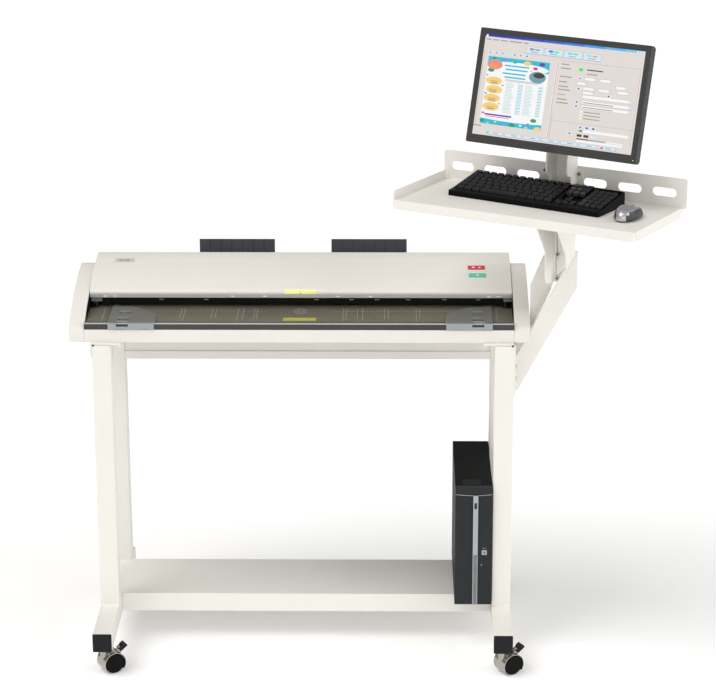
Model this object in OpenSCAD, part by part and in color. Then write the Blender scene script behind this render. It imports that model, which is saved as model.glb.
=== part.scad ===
// Wide-format sheet-fed scanner on a wheeled stand, with a side arm that
// carries a keyboard tray and a monitor, and a small computer on the shelf.
// Frame: origin on the floor, mid-width and mid-depth of the stand,
// +X to the operator's right, +Y away from the operator, +Z up, millimetres.

/* [Stand] */
// Outer width of the stand across the two side frames
stand_w = 1118; // [1100:2:1130]
// Side of the square steel tube
tube = 50.8; // [48:0.2:52]
// Wall of the square tube
tube_wall = 2.5; // [2:0.1:3]
// Length of each foot tube, front to back
foot_len = 620; // [600:5:640]
// Height of the underside of the feet above the floor
caster_h = 75.2; // [75.2:0.1:76]
// Height of the top ends of the posts
post_top = 869; // [869:0.5:870]

/* [Scanner] */
// Sideways offset of the scanner on the stand
scan_x = -10; // [-12:1:-8]
// Outer width of the scanner over its end caps
scan_w = 1222; // [1216:2:1226]
// Thickness of each end cap
cap_t = 41.5; // [41:0.5:42]
// Diameter of the feed rollers
feed_d = 18; // [17.6:0.1:18]
// Diameter of the pinch rollers
pinch_d = 12; // [11.6:0.1:12]

/* [Tray and monitor] */
// Turn of the tray about the vertical, towards the operator
tray_yaw = 29.6; // [29:0.1:30]
// Width of the tray
tray_w = 684; // [680:1:688]
// Depth of the tray
tray_d = 290; // [288:1:292]
// Height of the top face of the tray
tray_z = 1271; // [1270:0.5:1272]
// Extra turn of the monitor about the vertical
mon_yaw = 3.4; // [2:0.2:4]
// Backward tilt of the monitor
mon_tilt = 14.2; // [13:0.2:15]
// Width of the display's active area
mon_w = 466; // [458:1:470]
// Height of the display's active area
mon_h = 260; // [256:1:262]

/* [Computer] */
// Width of the computer case
pc_w = 100; // [98:1:100]
// Height of the computer case
pc_h = 344; // [330:1:345]
// Depth of the computer case
pc_d = 376; // [360:1:380]

/* [Hidden] */
$fn = 48;

// Colours that several nodes share
frame_white = [0.94, 0.93, 0.90];
cap_white = [0.93, 0.92, 0.89];
tray_white = [0.93, 0.92, 0.90];
arm_white = [0.94, 0.93, 0.91];
hood_grey = [0.75, 0.76, 0.78];
tyre_black = [0.12, 0.12, 0.13];
lever_black = [0.1, 0.1, 0.1];
feed_black = [0.15, 0.15, 0.16];
pinch_grey = [0.3, 0.3, 0.32];
guide_blue = [0.22, 0.23, 0.27];
edge_guide_grey = [0.58, 0.63, 0.66];
pc_black = [0.13, 0.14, 0.14];

// ---------- shared shapes ----------
// A span is [low, high] along one axis; side is -1 for left and 1 for right.
// Span from inner to outer distance, on the given side of zero
function side_span(side, inner, outer) = side > 0 ? [inner, outer] : [-outer, -inner];

// Extrude a (y, z) profile along x
module prism_x(span)
  translate([span[0], 0, 0]) rotate([90, 0, 90]) linear_extrude(span[1] - span[0]) children();
// Extrude an (x, z) profile along y
module prism_y(span)
  translate([0, span[1], 0]) rotate([90, 0, 0]) linear_extrude(span[1] - span[0]) children();
// Cylinders along x, y and z
module cyl_x(span, y, z, radius)
  translate([span[0], y, z]) rotate([0, 90, 0]) cylinder(r = radius, h = span[1] - span[0]);
module cyl_y(span, x, z, radius)
  translate([x, span[0], z]) rotate([-90, 0, 0]) cylinder(r = radius, h = span[1] - span[0]);
module cyl_z(span, x, y, radius)
  translate([x, y, span[0]]) cylinder(r = radius, h = span[1] - span[0]);
// Box and rectangle from low corner to high corner
module box(low, high) translate(low) cube(high - low);
module rect(x0, y0, x1, y1) translate([x0, y0]) square([x1 - x0, y1 - y0]);
// Rectangle with rounded corners
module rounded_rect(x0, y0, x1, y1, radius) union() {
  rect(x0 + radius, y0, x1 - radius, y1);
  rect(x0, y0 + radius, x1, y1 - radius);
  for (x = [x0 + radius, x1 - radius], y = [y0 + radius, y1 - radius])
    translate([x, y]) circle(radius);
}

// ---------- stand ----------
half_w = stand_w / 2;
post_x = half_w - tube / 2;       // centre of the side tubes
frame_in = post_x - tube / 2;     // inner face of the side tubes
post_y = [-113, 208];             // front faces of the front and rear posts
foot_top = caster_h + tube;
stem_y = 270;                     // caster stems from mid-depth
bolt_hole_r = 3.3;
rail_bolt_y = post_y[1] + tube / 2;
rail_bolt_z = 742;
shelf_bolt_y = [0, 160];
shelf_bolt_z = 102;
shelf_top = 132;
arm_bolt_z = [772, 805, 845];     // arm bracket bolts in the right front post

module side_frame(side) difference() {
  union() {
    box([side * post_x - tube / 2, -foot_len / 2, caster_h],
        [side * post_x + tube / 2, foot_len / 2, foot_top]);
    for (y = post_y)
      box([side * post_x - tube / 2, y, foot_top - 1],
          [side * post_x + tube / 2, y + tube, post_top]);
  }
  // bores of the foot and the posts
  box([side * post_x - tube / 2 + tube_wall, -foot_len / 2 - 1, caster_h + tube_wall],
      [side * post_x + tube / 2 - tube_wall, foot_len / 2 + 1, foot_top - tube_wall]);
  for (y = post_y)
    box([side * post_x - tube / 2 + tube_wall, y + tube_wall, foot_top + 2],
        [side * post_x + tube / 2 - tube_wall, y + tube - tube_wall, post_top + 1]);
  // caster stem holes
  for (end = [-1, 1])
    cyl_z([caster_h - 1, caster_h + tube_wall + 1], side * post_x, end * stem_y, 5.5);
  // rail bolt through the rear post, shelf bolts into the foot
  inner_wall = side_span(side, frame_in - 1, frame_in + tube_wall + 1);
  cyl_x(inner_wall, rail_bolt_y, rail_bolt_z, bolt_hole_r);
  for (y = shelf_bolt_y) cyl_x(inner_wall, y, shelf_bolt_z, bolt_hole_r);
  if (side > 0)
    for (z = arm_bolt_z)
      cyl_x([half_w - tube_wall - 1, half_w + 1], post_y[0] + tube / 2, z, bolt_hole_r);
}
module left_side_frame() color(frame_white) side_frame(-1);
module right_side_frame() color(frame_white) side_frame(1);

// Cover plate with a hollow plug that reaches into the foot tube
module foot_end_cap() {
  linear_extrude(3) rounded_rect(-tube / 2, -tube / 2, tube / 2, tube / 2, 3);
  bore = tube - 2 * tube_wall;
  translate([0, 0, -12]) difference() {
    linear_extrude(12.5) square(bore - 0.6, center = true);
    translate([0, 0, -1]) linear_extrude(11) square(bore - 5, center = true);
  }
}
module foot_end_caps() color([0.13, 0.13, 0.15])
  for (side = [-1, 1], end = [-1, 1])
    translate([side * post_x, end * foot_len / 2, caster_h + tube / 2])
      rotate([-90 * end, 0, 0]) foot_end_cap();

// Bolt hole through the end wall of a channel that spans the side frames
module end_wall_hole(side, y, z)
  cyl_x(side_span(side, frame_in - 4, frame_in + 1), y, z, bolt_hole_r);

module rear_cross_rail() color(cap_white) difference() {
  union() {
    box([-frame_in, post_y[1], 731], [frame_in, post_y[1] + tube, 754]);
    box([-frame_in, post_y[1] + 4, 752.5], [frame_in, post_y[1] + 7, 800]);
  }
  // open underside
  box([-frame_in + 2.5, post_y[1] + 2, 730], [frame_in - 2.5, post_y[1] + tube - 2, 752]);
  for (side = [-1, 1]) end_wall_hole(side, rail_bolt_y, rail_bolt_z);
}

module lower_shelf() color(frame_white) difference() {
  box([-frame_in, -43, 80], [frame_in, 208, shelf_top]);
  box([-frame_in + 2.5, -41, 79], [frame_in - 2.5, 206, shelf_top - 2.5]);
  for (side = [-1, 1], y = shelf_bolt_y) end_wall_hole(side, y, shelf_bolt_z);
}

// Plate over the post tops of one side, with a lip turned down at its inner edge.
// The left plate also has a skirt down its outer edge.
bracket_y = [-111, 257];
bracket_t = 4;
bracket_lip_t = 3;
module top_bracket(side, inner, outer) {
  plate = side_span(side, inner, outer);
  lip = side_span(side, inner, inner + bracket_lip_t);
  plate_top = post_top + bracket_t;
  difference() {
    union() {
      box([plate[0], bracket_y[0], post_top], [plate[1], bracket_y[1], plate_top]);
      box([lip[0], bracket_y[0], post_top - 6], [lip[1], bracket_y[1], plate_top]);
      if (side < 0) box([-outer, bracket_y[0], 835], [-half_w, bracket_y[1], plate_top]);
    }
    for (y = post_y) cyl_z([post_top - 1, post_top + 5], side * post_x, y + tube / 2, 4.2);
  }
}
module top_brackets() color(frame_white) {
  top_bracket(-1, 483, half_w + bracket_t);
  top_bracket(1, 479, half_w);
}

// Button-head bolts: the head sits on face_x, on the side given by head_dir,
// and the shank runs the other way
shank_r = 3.25;
module frame_bolt(face_x, head_dir, y, z) union() {
  cyl_x(head_dir > 0 ? [face_x, face_x + 3] : [face_x - 3, face_x], y, z, 6);
  cyl_x(head_dir > 0 ? [face_x - 12, face_x + 0.5] : [face_x - 0.5, face_x + 12], y, z, shank_r);
}
// Bolts along y and z, given the spans of head and shank
arm_head_r = 5.5;
module bolt_y(head, shank, x, z) union() {
  cyl_y(head, x, z, arm_head_r);
  cyl_y(shank, x, z, shank_r);
}
module bolt_z(head, shank, x, y) union() {
  cyl_z(head, x, y, arm_head_r);
  cyl_z(shank, x, y, shank_r);
}
module frame_bolts() color([0.45, 0.45, 0.46]) {
  for (side = [-1, 1]) {
    face_x = side * (frame_in - 2.5);
    frame_bolt(face_x, -side, rail_bolt_y, rail_bolt_z);
    for (y = shelf_bolt_y) frame_bolt(face_x, -side, y, shelf_bolt_z);
  }
  for (z = arm_bolt_z) frame_bolt(half_w + arm_flange_t, 1, post_y[0] + tube / 2, z);
  on_tray() {
    // mast to bracket
    for (z = mast_bolt_z) bolt_y([131.5, 135], [134.8, 150], mast_bolt_x, z);
    // monitor post to the tray's back wall
    for (x = post_bolt_x)
      bolt_y([tray_d / 2 - 10.5, tray_d / 2 - 7], [tray_d / 2 - 7.5, tray_d / 2 + 4],
             x, post_bolt_z);
    // mast top plate to the tray
    for (y = tray_bolt_y)
      bolt_z([tray_z - 9.5, tray_z - 6.5], [tray_z - 7, tray_z - 0.1], mast_x, y);
  }
}

// ---------- casters ----------
// Local frame: stem on the z axis, wheel axle along y, trailing towards +x
swivel = 31;                      // resting swivel angle
trail = 20;                       // axle from the stem axis
wheel_r = 27.5;
hood_in_r = 29.2;                 // inside of the hood shell
brake_x = 45;                     // brake pivot
brake_z = 58;
brake_tilt = -35;

module at_caster(side, end)
  translate([side * post_x, end * stem_y, 0])
    rotate([0, 0, side + end > 1 ? 180 - swivel : swivel]) children();

module caster_stems() color([0.6, 0.6, 0.62])
  for (side = [-1, 1], end = [-1, 1]) union() {
    x = side * post_x;
    y = end * stem_y;
    cyl_z([52, caster_h + 12], x, y, 5);
    box([x - 19, y - 19, caster_h - 3], [x + 19, y + 19, caster_h]);
  }

module hood(brake) difference() {
  union() {
    // shell over the wheels
    difference() {
      cyl_y([-26.5, 26.5], trail, wheel_r, 31.2);
      cyl_y([-30, 30], trail, wheel_r, hood_in_r);
      box([-20, -30, -10], [60, 30, 9.5]);
    }
    // web between the wheels, and axle boss
    intersection() {
      cyl_y([-6, 6], trail, wheel_r, 30);
      box([-10, -6, 17], [60, 6, 60]);
    }
    cyl_y([-6, 6], trail, wheel_r, 9);
    // neck around the stem, cleared for the wheels
    difference() {
      cyl_z([38, 71.7], 0, 0, 11.5);
      for (side = [-1, 1]) cyl_y(side_span(side, 6, 27), trail, wheel_r, hood_in_r);
    }
    box([0, -6, 42], [16, 6, 54]);
    // brake pivot lug
    if (brake) {
      box([34, -5, 46], [47, 5, 58]);
      cyl_y([-5, 5], brake_x, brake_z, 5.5);
    }
  }
  // holes for stem, axle and brake pivot
  cyl_z([51.5, 80], 0, 0, 5.05);
  cyl_y([-30, 30], trail, wheel_r, 4.05);
  if (brake) cyl_y([-6, 6], brake_x, brake_z, 2.55);
}

// Wheel half-section: radius, distance from the caster's mid-plane
wheel_profile = [[0, 6.8], [26.5, 6.8], [wheel_r, 8.5], [wheel_r, 22.5], [25.5, 25.5],
  [15, 25.5], [13.5, 24], [7, 24], [6, 25.5], [0, 25.5]];
module wheels() translate([trail, 0, wheel_r]) rotate([90, 0, 0]) union() {
  for (side = [-1, 1])
    rotate_extrude() polygon([for (point = wheel_profile) [point[0], side * point[1]]]);
  cylinder(r = 4, h = 14, center = true);
}

// Two cheeks beside the lug, a pivot pin and a pedal
module lever() union() {
  for (side = [-1, 1]) intersection() {
    cheek = side_span(side, 5.4, 10);
    translate([brake_x, 0, brake_z]) rotate([0, brake_tilt, 0])
      box([-4.5, cheek[0], -4.5], [12, cheek[1], 4.5]);
    cyl_y([-12, 12], brake_x, brake_z, 14);
  }
  cyl_y([-10, 10], brake_x, brake_z, 2.5);
  translate([brake_x, 0, brake_z]) rotate([0, brake_tilt, 0])
    box([7.5, -12.5, -3], [20, 12.5, 5]);
}
module caster_hood_fl() color(hood_grey) at_caster(-1, -1) hood(true);
module caster_hood_fr() color(hood_grey) at_caster(1, -1) hood(true);
module caster_hood_rl() color(hood_grey) at_caster(-1, 1) hood(false);
module caster_hood_rr() color(hood_grey) at_caster(1, 1) hood(false);
module caster_wheels_fl() color(tyre_black) at_caster(-1, -1) wheels();
module caster_wheels_fr() color(tyre_black) at_caster(1, -1) wheels();
module caster_wheels_rl() color(tyre_black) at_caster(-1, 1) wheels();
module caster_wheels_rr() color(tyre_black) at_caster(1, 1) wheels();
module brake_lever_l() color(lever_black) at_caster(-1, -1) lever();
module brake_lever_r() color(lever_black) at_caster(1, -1) lever();

// ---------- scanner base ----------
cap_x = scan_w / 2 - cap_t;       // inner faces of the end caps from centre
front_y = -98;
base_z = 873;                     // underside of the scanner
table_front = -78;                // front edge of the paper table
ramp_end = 67;                    // where the sloping table turns level
table_front_z = 921;
table_z = 928;                    // level part of the table, and glass top
table_t = 4;
feed_y = [88, 256];               // front and rear roller lines
feed_z = table_z + 0.5 - feed_d / 2;
pinch_z = feed_z + feed_d / 2 + 0.3 + pinch_d / 2;
axle_r = 4;                       // feed roller shafts and hinge pins
hinge_y = 325;                    // lid hinge line
hinge_z = 955;
motor_y = 300;                    // motor shaft
motor_z = 899;
across = [-560, 560];             // cutting span through both side plates

// Height of the sloping table top at y
function table_top(y) = table_front_z
  + (y - table_front) * (table_z - table_front_z) / (ramp_end - table_front);

// Places parts measured from the scanner's mid-width
module on_scanner() translate([scan_x, 0, 0]) children();

// End cap outline and its hollow: y, z
cap_outline = [[front_y, 876], [front_y, 903], [-90, 915], [-72, 926], [-50, 936], [-25, 947],
  [0, 957], [37, 970], [71, 981], [105, 990], [150, 999], [190, 1004.5], [216, 1006],
  [250, 995], [290, 982], [327, 965], [345, 950], [357, 930], [362, base_z], [-94, base_z]];
cap_hollow = [[-84, 876], [-84, 905], [-70.5, 919], [-48.8, 931], [-24, 943], [1, 953],
  [38, 966], [72, 977], [105.6, 986], [150.5, 995], [190, 1001], [215, 1002.5],
  [249, 992], [288.5, 979], [325, 962], [342, 948], [353.5, 929], [358.5, 876]];

// Rear sockets: left edge, right edge, top, from the scanner's centre
sockets = [[-430, -400, 907], [-390, -375, 897], [-365, -347, 899]];
module socket_openings()
  for (socket = sockets) box([socket[0], 350, 883], [socket[1], 370, socket[2]]);

module base_pan() color([0.55, 0.55, 0.55]) on_scanner() difference() {
  pan_x = cap_x - 1;
  union() {
    box([-pan_x, -95, base_z], [pan_x, 359, base_z + 2]);
    box([-pan_x, -95, base_z], [pan_x, -93.5, 905.4]);
    box([-pan_x, 357.5, base_z], [pan_x, 359, 925]);
  }
  socket_openings();
  // cooling slots in the floor, none at mid-width
  for (i = [-6:6])
    if (i != 0) box([i * 70 - 20, 60, base_z - 1], [i * 70 + 20, 66, base_z + 3]);
}

module front_cover() color(frame_white) on_scanner()
  prism_x([-cap_x + 0.3, cap_x - 0.3])
    polygon([[front_y, 873.8], [-97.2, base_z], [-95, base_z], [-95, 905.5],
      [-80, 905.5], [-80, 908], [-97.2, 908], [front_y, 907.2]]);

module end_cap(side) on_scanner() difference() {
  prism_x(side_span(side, cap_x, cap_x + cap_t)) polygon(cap_outline);
  prism_x(side_span(side, cap_x - 1, cap_x + cap_t - 3)) polygon(cap_hollow);
  // front edge swept back towards the outer side
  translate([side * (cap_x + 3), front_y, 0]) rotate([0, 0, side > 0 ? 8 : 172])
    translate([0, side > 0 ? -30 : 0, 860]) cube([60, 30, 200]);
}
module left_end_cap() color(cap_white) end_cap(-1);
module right_end_cap() color(cap_white) end_cap(1);

// Return guides behind the scanner: spans in x, and their pivot line
guide_spans = [[-307, -95], [64, 276]];
guide_y = 374;
guide_z = 905;
module rear_cover() color(cap_white) difference() {
  union() {
    on_scanner() box([-cap_x + 0.5, 360, base_z], [cap_x - 0.5, 363, 935]);
    // lugs and pivot pins of the return guides
    for (span = guide_spans) {
      for (x = [span[0] - 6, span[1] + 1]) {
        box([x, 362, guide_z - 6], [x + 5, guide_y, guide_z + 6]);
        cyl_x([x, x + 5], guide_y, guide_z, 6);
      }
      cyl_x([span[0] - 3, span[0] + 12], guide_y, guide_z, 2.5);
      cyl_x([span[1] - 12, span[1] + 3], guide_y, guide_z, 2.5);
    }
  }
  on_scanner() {
    socket_openings();
    // cooling slots
    for (i = [0:11]) box([330 + i * 12, 350, 885], [335 + i * 12, 370, 922]);
  }
}

module paper_table() color([0.33, 0.31, 0.28]) on_scanner() difference() {
  union() {
    // wide sloping front, then the narrower level part
    prism_x([-cap_x + 1.5, cap_x - 1.5])
      polygon([[table_front, table_top(table_front) - table_t],
        [table_front, table_top(table_front)],
        [45, table_top(45)], [45, table_top(45) - table_t]]);
    prism_x([-546, 546])
      polygon([[44, table_top(44) - table_t], [44, table_top(44)], [ramp_end, table_z],
        [340, table_z], [340, table_z - table_t], [ramp_end, table_z - table_t]]);
  }
  // openings for the rollers and the glass
  for (y = feed_y) box([-533, y - 9.5, 900], [533, y + 9.5, 940]);
  box([-530, 112, 900], [530, 232, 940]);
}

module nose_bar() color([0.35, 0.38, 0.36]) on_scanner()
  prism_x([-cap_x + 0.5, cap_x - 0.5])
    polygon([[front_y, 909.5], [-96.5, 908.2], [-80, 908.2], [-80, 910], [-78.2, 912],
      [-78.2, 921], [-79, 924.5], [-82, 925.2], [-95, 925.2], [-97.2, 924], [front_y, 922]]);

module scan_glass() color([0.6, 0.7, 0.72, 0.5]) on_scanner()
  box([-529.5, 112.5, 924.1], [529.5, 231.5, table_z]);

// Open-topped trough under the glass
module scan_head() color([0.2, 0.2, 0.22]) on_scanner() difference() {
  box([-535, 108, 882], [535, 236, 924]);
  box([-528, 115, 888], [528, 229, 925]);
}

// Side plates that carry the rollers and the lid hinge
module side_plate(side) difference() {
  prism_x(side_span(side, 548, 552))
    polygon([[50, 875], [338, 875], [338, 962], [330, 968], [318, 968], [300, 942], [50, 942]]);
  for (y = feed_y) cyl_x(across, y, feed_z, 8);
  cyl_x(across, hinge_y, hinge_z, axle_r);
  if (side > 0) cyl_x([540, 560], motor_y, motor_z, 11);
  for (y = [70, 240]) box([across[0], y, 885], [across[1], y + 40, 900]);
}
module side_plates() color([0.62, 0.63, 0.64]) on_scanner()
  for (side = [-1, 1]) side_plate(side);

// Flanged bushes in the side plates
module roller_bearings() color([0.72, 0.6, 0.3]) on_scanner()
  for (side = [-1, 1], y = feed_y) difference() {
    union() {
      cyl_x(side_span(side, 547, 552.5), y, feed_z, 8);
      cyl_x(side_span(side, 552.2, 554), y, feed_z, 9.5);
    }
    cyl_x(across, y, feed_z, axle_r + 0.05);
  }

// Belt drum between two flanges
module pulley(y, z) {
  cyl_x([557, 563], y, z, 8);
  cyl_x([563, 564.2], y, z, 10);
  cyl_x([555.8, 557], y, z, 10);
}
module feed_roller(y) on_scanner() union() {
  cyl_x([-530, 530], y, feed_z, feed_d / 2);
  cyl_x([-556, 565], y, feed_z, axle_r);
  pulley(y, feed_z);
}
module front_feed_roller() color(feed_black) feed_roller(feed_y[0]);
module rear_feed_roller() color(feed_black) feed_roller(feed_y[1]);

module drive_motor() color([0.25, 0.25, 0.27]) on_scanner() difference() {
  union() {
    box([500, motor_y - 21, motor_z - 21], [546, motor_y + 21, motor_z + 21]);
    cyl_x([545.5, 551], motor_y, motor_z, 10.9);
  }
  cyl_x([520, 552], motor_y, motor_z, 2.55);
}
module motor_pulley() color([0.8, 0.8, 0.8]) on_scanner() union() {
  cyl_x([525, 565], motor_y, motor_z, 2.5);
  pulley(motor_y, motor_z);
}

// Outline stretched around the three pulleys
module belt_loop(radius) hull() {
  for (y = feed_y) translate([y, feed_z]) circle(radius, $fn = 32);
  translate([motor_y, motor_z]) circle(radius, $fn = 32);
}
module drive_belt() color([0.08, 0.08, 0.08]) on_scanner()
  prism_x([557.4, 562.6]) difference() {
    belt_loop(9.8);
    belt_loop(8.3);
  }

board_top = 881.6;
module main_board() color([0.1, 0.4, 0.2]) on_scanner() union() {
  // standoffs and board
  for (x = [-440, -250], y = [255, 345]) cyl_z([875, 880], x, y, 3);
  box([-450, 245, 880], [-240, 355, board_top]);
  // sockets, each with a block joining it to the board
  for (socket = sockets) {
    box([socket[0] + 1, 335, 884], [socket[1] - 1, 361.5, socket[2] - 1]);
    box([socket[0] + 1, 335, 881.5], [socket[1] - 1, 354, 885]);
  }
  // square block, five fins and two round cans
  box([-340, 270, board_top], [-300, 310, 886]);
  for (i = [0:4]) box([-290 + i * 8, 275, board_top], [-286 + i * 8, 305, 892]);
  for (x = [-420, -400]) cyl_z([board_top, 896], x, 275, 7);
}

// Slotted catch guides behind the scanner
module return_guide(span) difference() {
  union() {
    cyl_x(span, guide_y, guide_z, 5);
    box([span[0], guide_y, 900.5], [span[1], 385, 904]);
    prism_x(span)
      polygon([[381.5, 900.5], [385, 904], [385, 1027], [384, 1030], [382.2, 1030],
        [381.2, 1027], [381.2, 904]]);
  }
  // pivot holes at both ends
  cyl_x([span[0] - 1, span[0] + 12.5], guide_y, guide_z, 2.55);
  cyl_x([span[1] - 12.5, span[1] + 1], guide_y, guide_z, 2.55);
  // upright slots in the front face
  slot_pitch = (span[1] - span[0]) / 7;
  for (i = [1:6]) {
    x = span[0] + i * slot_pitch;
    box([x - 1.2, 380, 925], [x + 1.2, 382.6, 1031]);
  }
}
module left_return_guide() color(guide_blue) return_guide(guide_spans[0]);
module right_return_guide() color(guide_blue) return_guide(guide_spans[1]);

// Paper edge guide, x measured from its outer edge, towards the middle.
// Section hooked over the nose bar: y, z
edge_guide_section = [[-101.6, 908.4], [-98.4, 908.4], [-98.4, 925.8], [-78, 925.8],
  [-72, table_top(-72) + 0.4], [58, table_top(58) + 0.4], [58, table_top(58) + 4.4],
  [0, table_top(0) + 4.4], [-72, table_top(-72) + 8], [-80, 929.6], [-99, 929.6], [-101.6, 927]];
// Outline from above: x, y
edge_guide_plan = [[-4, -103], [118, -103], [121, -84], [116, -17], [58, 43], [12, 45],
  [10, 56], [-2, 56], [-6, 40], [-5, -60]];
// Openings near the outer edge: front y, rear y, lower z
edge_guide_windows = [[-19, 7, 890], [-80, -50, 890], [-104, -88, 917.5]];
module edge_guide() difference() {
  intersection() {
    prism_x([-6, 125]) polygon(edge_guide_section);
    translate([0, 0, 850]) linear_extrude(150) polygon(edge_guide_plan);
  }
  for (window = edge_guide_windows) box([18, window[0], window[2]], [50, window[1], 960]);
  // notches in the lower edge of the front lip
  for (x = [17, 83]) box([x, -103, 900], [x + 19, -98.4, 910.2]);
}
module left_side_guide() color(edge_guide_grey) translate([-512, 0, 0]) edge_guide();
module right_side_guide() color(edge_guide_grey)
  translate([498, 0, 0]) mirror([1, 0, 0]) edge_guide();

// ---------- lid ----------
// Lid outline and its hollow: y, z
lid_outline = [[37, 968.5], [44.5, 955.8], [46.5, 955], [50, 956], [50, 966], [353, 966],
  [357, 958], [361.5, 958], [362, 962], [360, 972], [354, 982], [344, 990], [330, 997],
  [312, 1006], [290, 1015.5], [270, 1022], [252, 1025.6], [226, 1025.2], [200, 1022.5],
  [150, 1013], [100, 1000], [60, 985.5], [45, 979], [39, 975.5], [37, 973]];
lid_hollow = [[50, 950], [50, 977.2], [61, 982], [101, 996.6], [151, 1009.8], [200.6, 1019.2],
  [226.5, 1021.9], [252, 1022.3], [269, 1018.8], [288.5, 1012.3], [310.5, 1002.8],
  [328.5, 993.8], [342, 987], [351, 979.5], [356.5, 970.5], [358, 962], [358, 950]];

// Button centres on the sloping cover: x, y, z
start_at = [467, 106, 1001.6];
stop_at = [465, 146, 1012.1];
button_slope = 14.5;
button_half = [23, 10];           // half width and half depth

module at_button(place) translate(place) rotate([button_slope, 0, 0]) children();
module button_pocket(place) at_button(place)
  box([-button_half[0] - 0.2, -button_half[1] - 0.2, -30],
      [button_half[0] + 0.2, button_half[1] + 0.2, 30]);
// Push button with a wider flange below
module button(place) at_button(place) union() {
  translate([0, 0, -9]) linear_extrude(10.6)
    rounded_rect(-button_half[0], -button_half[1], button_half[0], button_half[1], 2.5);
  translate([0, 0, -12]) linear_extrude(4) rounded_rect(-26, -12.5, 26, 12.5, 2);
}
module start_button() color([0.36, 0.75, 0.66]) button(start_at);
module stop_button() color([0.83, 0.25, 0.27]) button(stop_at);

module top_cover() color(tray_white) difference() {
  on_scanner() union() {
    difference() {
      prism_x([-cap_x + 2, cap_x - 2]) polygon(lid_outline);
      prism_x([-cap_x + 5, cap_x - 5]) polygon(lid_hollow);
    }
    // hinge lugs
    for (side = [-1, 1]) prism_x(side_span(side, 541, 546)) union() {
      translate([hinge_y, hinge_z]) circle(10);
      polygon([[316, 955], [334, 955], [333, 994], [312, 1004]]);
    }
  }
  on_scanner() cyl_x(across, hinge_y, hinge_z, axle_r + 0.05);
  for (place = [start_at, stop_at]) button_pocket(place);
}

// Front cross wall and two side rails that hold the pinch rollers
module pressure_frame() color([0.08, 0.08, 0.08]) on_scanner() difference() {
  union() {
    prism_x([-539, 539])
      polygon([[60, 934], [74, 934], [74, 986.5], [61, 981.7], [60, 981.2]]);
    for (side = [-1, 1]) prism_x(side_span(side, 533.5, 539)) union() {
      translate([73, 940]) square([195, 20]);
      for (y = feed_y) {
        translate([y, pinch_z]) circle(5.6);
        translate([y - 5.6, pinch_z]) square([11.2, 10]);
      }
    }
  }
  for (y = feed_y) cyl_x(across, y, pinch_z, 3.05);
}

// Nine short rollers on one shaft
module pinch_roller(y) on_scanner() union() {
  for (i = [-4:4]) cyl_x([i * 118 - 45, i * 118 + 45], y, pinch_z, pinch_d / 2);
  cyl_x([-540.5, 540.5], y, pinch_z, 3);
}
module front_pinch_roller() color(pinch_grey) pinch_roller(feed_y[0]);
module rear_pinch_roller() color(pinch_grey) pinch_roller(feed_y[1]);

module hinge_pins() color([0.7, 0.7, 0.72]) on_scanner()
  for (side = [-1, 1]) union() {
    cyl_x(side_span(side, 540.5, 552), hinge_y, hinge_z, axle_r);
    cyl_x(side_span(side, 552, 554.5), hinge_y, hinge_z, 6.5);
  }

// ---------- arm ----------
// Tray frame: x and y from the tray's centre, turned with it; z from the floor
mast_x = 15;                      // mast centre line
mast_half = 31.5;                 // half width of mast and monitor post
mast_sides = [mast_x - mast_half, mast_x + mast_half];
mast_back = 139;
mast_top = tray_z - 2.8;
plate_t = 4;                      // plates of the bracket, mast and post
arm_flange_t = 5;
mast_bolt_x = -2;
mast_bolt_z = [1039, 1105];
post_bolt_x = [-46, 53];
post_bolt_z = tray_z + 56.5;
tray_bolt_y = [50, 110];
tilt_y = 132;                     // tilt pin line
tilt_z = 1545;

module on_tray() translate([607.8, -173, 0]) rotate([0, 0, -tray_yaw]) children();
// Monitor frame: origin at mid-screen, +y behind it
module on_monitor() on_tray()
  translate([24, 57, 1551]) rotate([0, 0, -mon_yaw]) rotate([-mon_tilt, 0, 0]) children();

module mast_bolt_holes() on_tray()
  for (z = mast_bolt_z) cyl_y([130, 160], mast_bolt_x, z, bolt_hole_r);
module tray_bolt_holes(span) for (y = tray_bolt_y) cyl_z(span, mast_x, y, bolt_hole_r);
module post_bolt_holes() for (x = post_bolt_x) cyl_y([130, 150], x, post_bolt_z, bolt_hole_r);

// Front and rear diagonal plates of the bracket: x, z
arm_front_plate = [[half_w + 2, 731], [571, 731], [724, 1018], [724, 1117], [719, 1117],
  [671, 1031], [606, 903], [602.5, 894], [602.5, 871], [589, 868], [half_w + 2, 816]];
arm_rear_plate = [[half_w + 2, 770], [578, 770], [618, 850], [618, 880], [611, 893],
  [611, 899], [659, 1006], [672, 1040], [672, 1093], [637, 1093], [603.5, 1010],
  [603.5, 872], [596, 866], [half_w + 2, 866]];

// One welded bracket: post flange, front and rear diagonal plates, mast plate
module arm_bracket() color(arm_white) difference() {
  union() {
    box([half_w, -111, 728], [half_w + arm_flange_t, -15, 868]);
    prism_y([-67, -63]) polygon(arm_front_plate);
    prism_y([-21, -17]) polygon(arm_rear_plate);
    // folded stiffener along the lower edge of the rear plate
    prism_y([-36, -17]) polygon([[611, 899], [659, 1006], [656, 1007.5], [608, 900.5]]);
    // mast plate
    on_tray() prism_y([mast_back, 143.8])
      polygon([[-60, 1028], [31, 1028], [31, 1118], [-30, 1118], [-60, 1064]]);
    // edge strip behind the right end of the front plate
    prism_y([-67, -48]) polygon([[720, 1018], [724, 1018], [724, 1092], [720, 1092]]);
  }
  for (z = arm_bolt_z)
    cyl_x([half_w - 1, half_w + 8], post_y[0] + tube / 2, z, bolt_hole_r);
  mast_bolt_holes();
}

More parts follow.
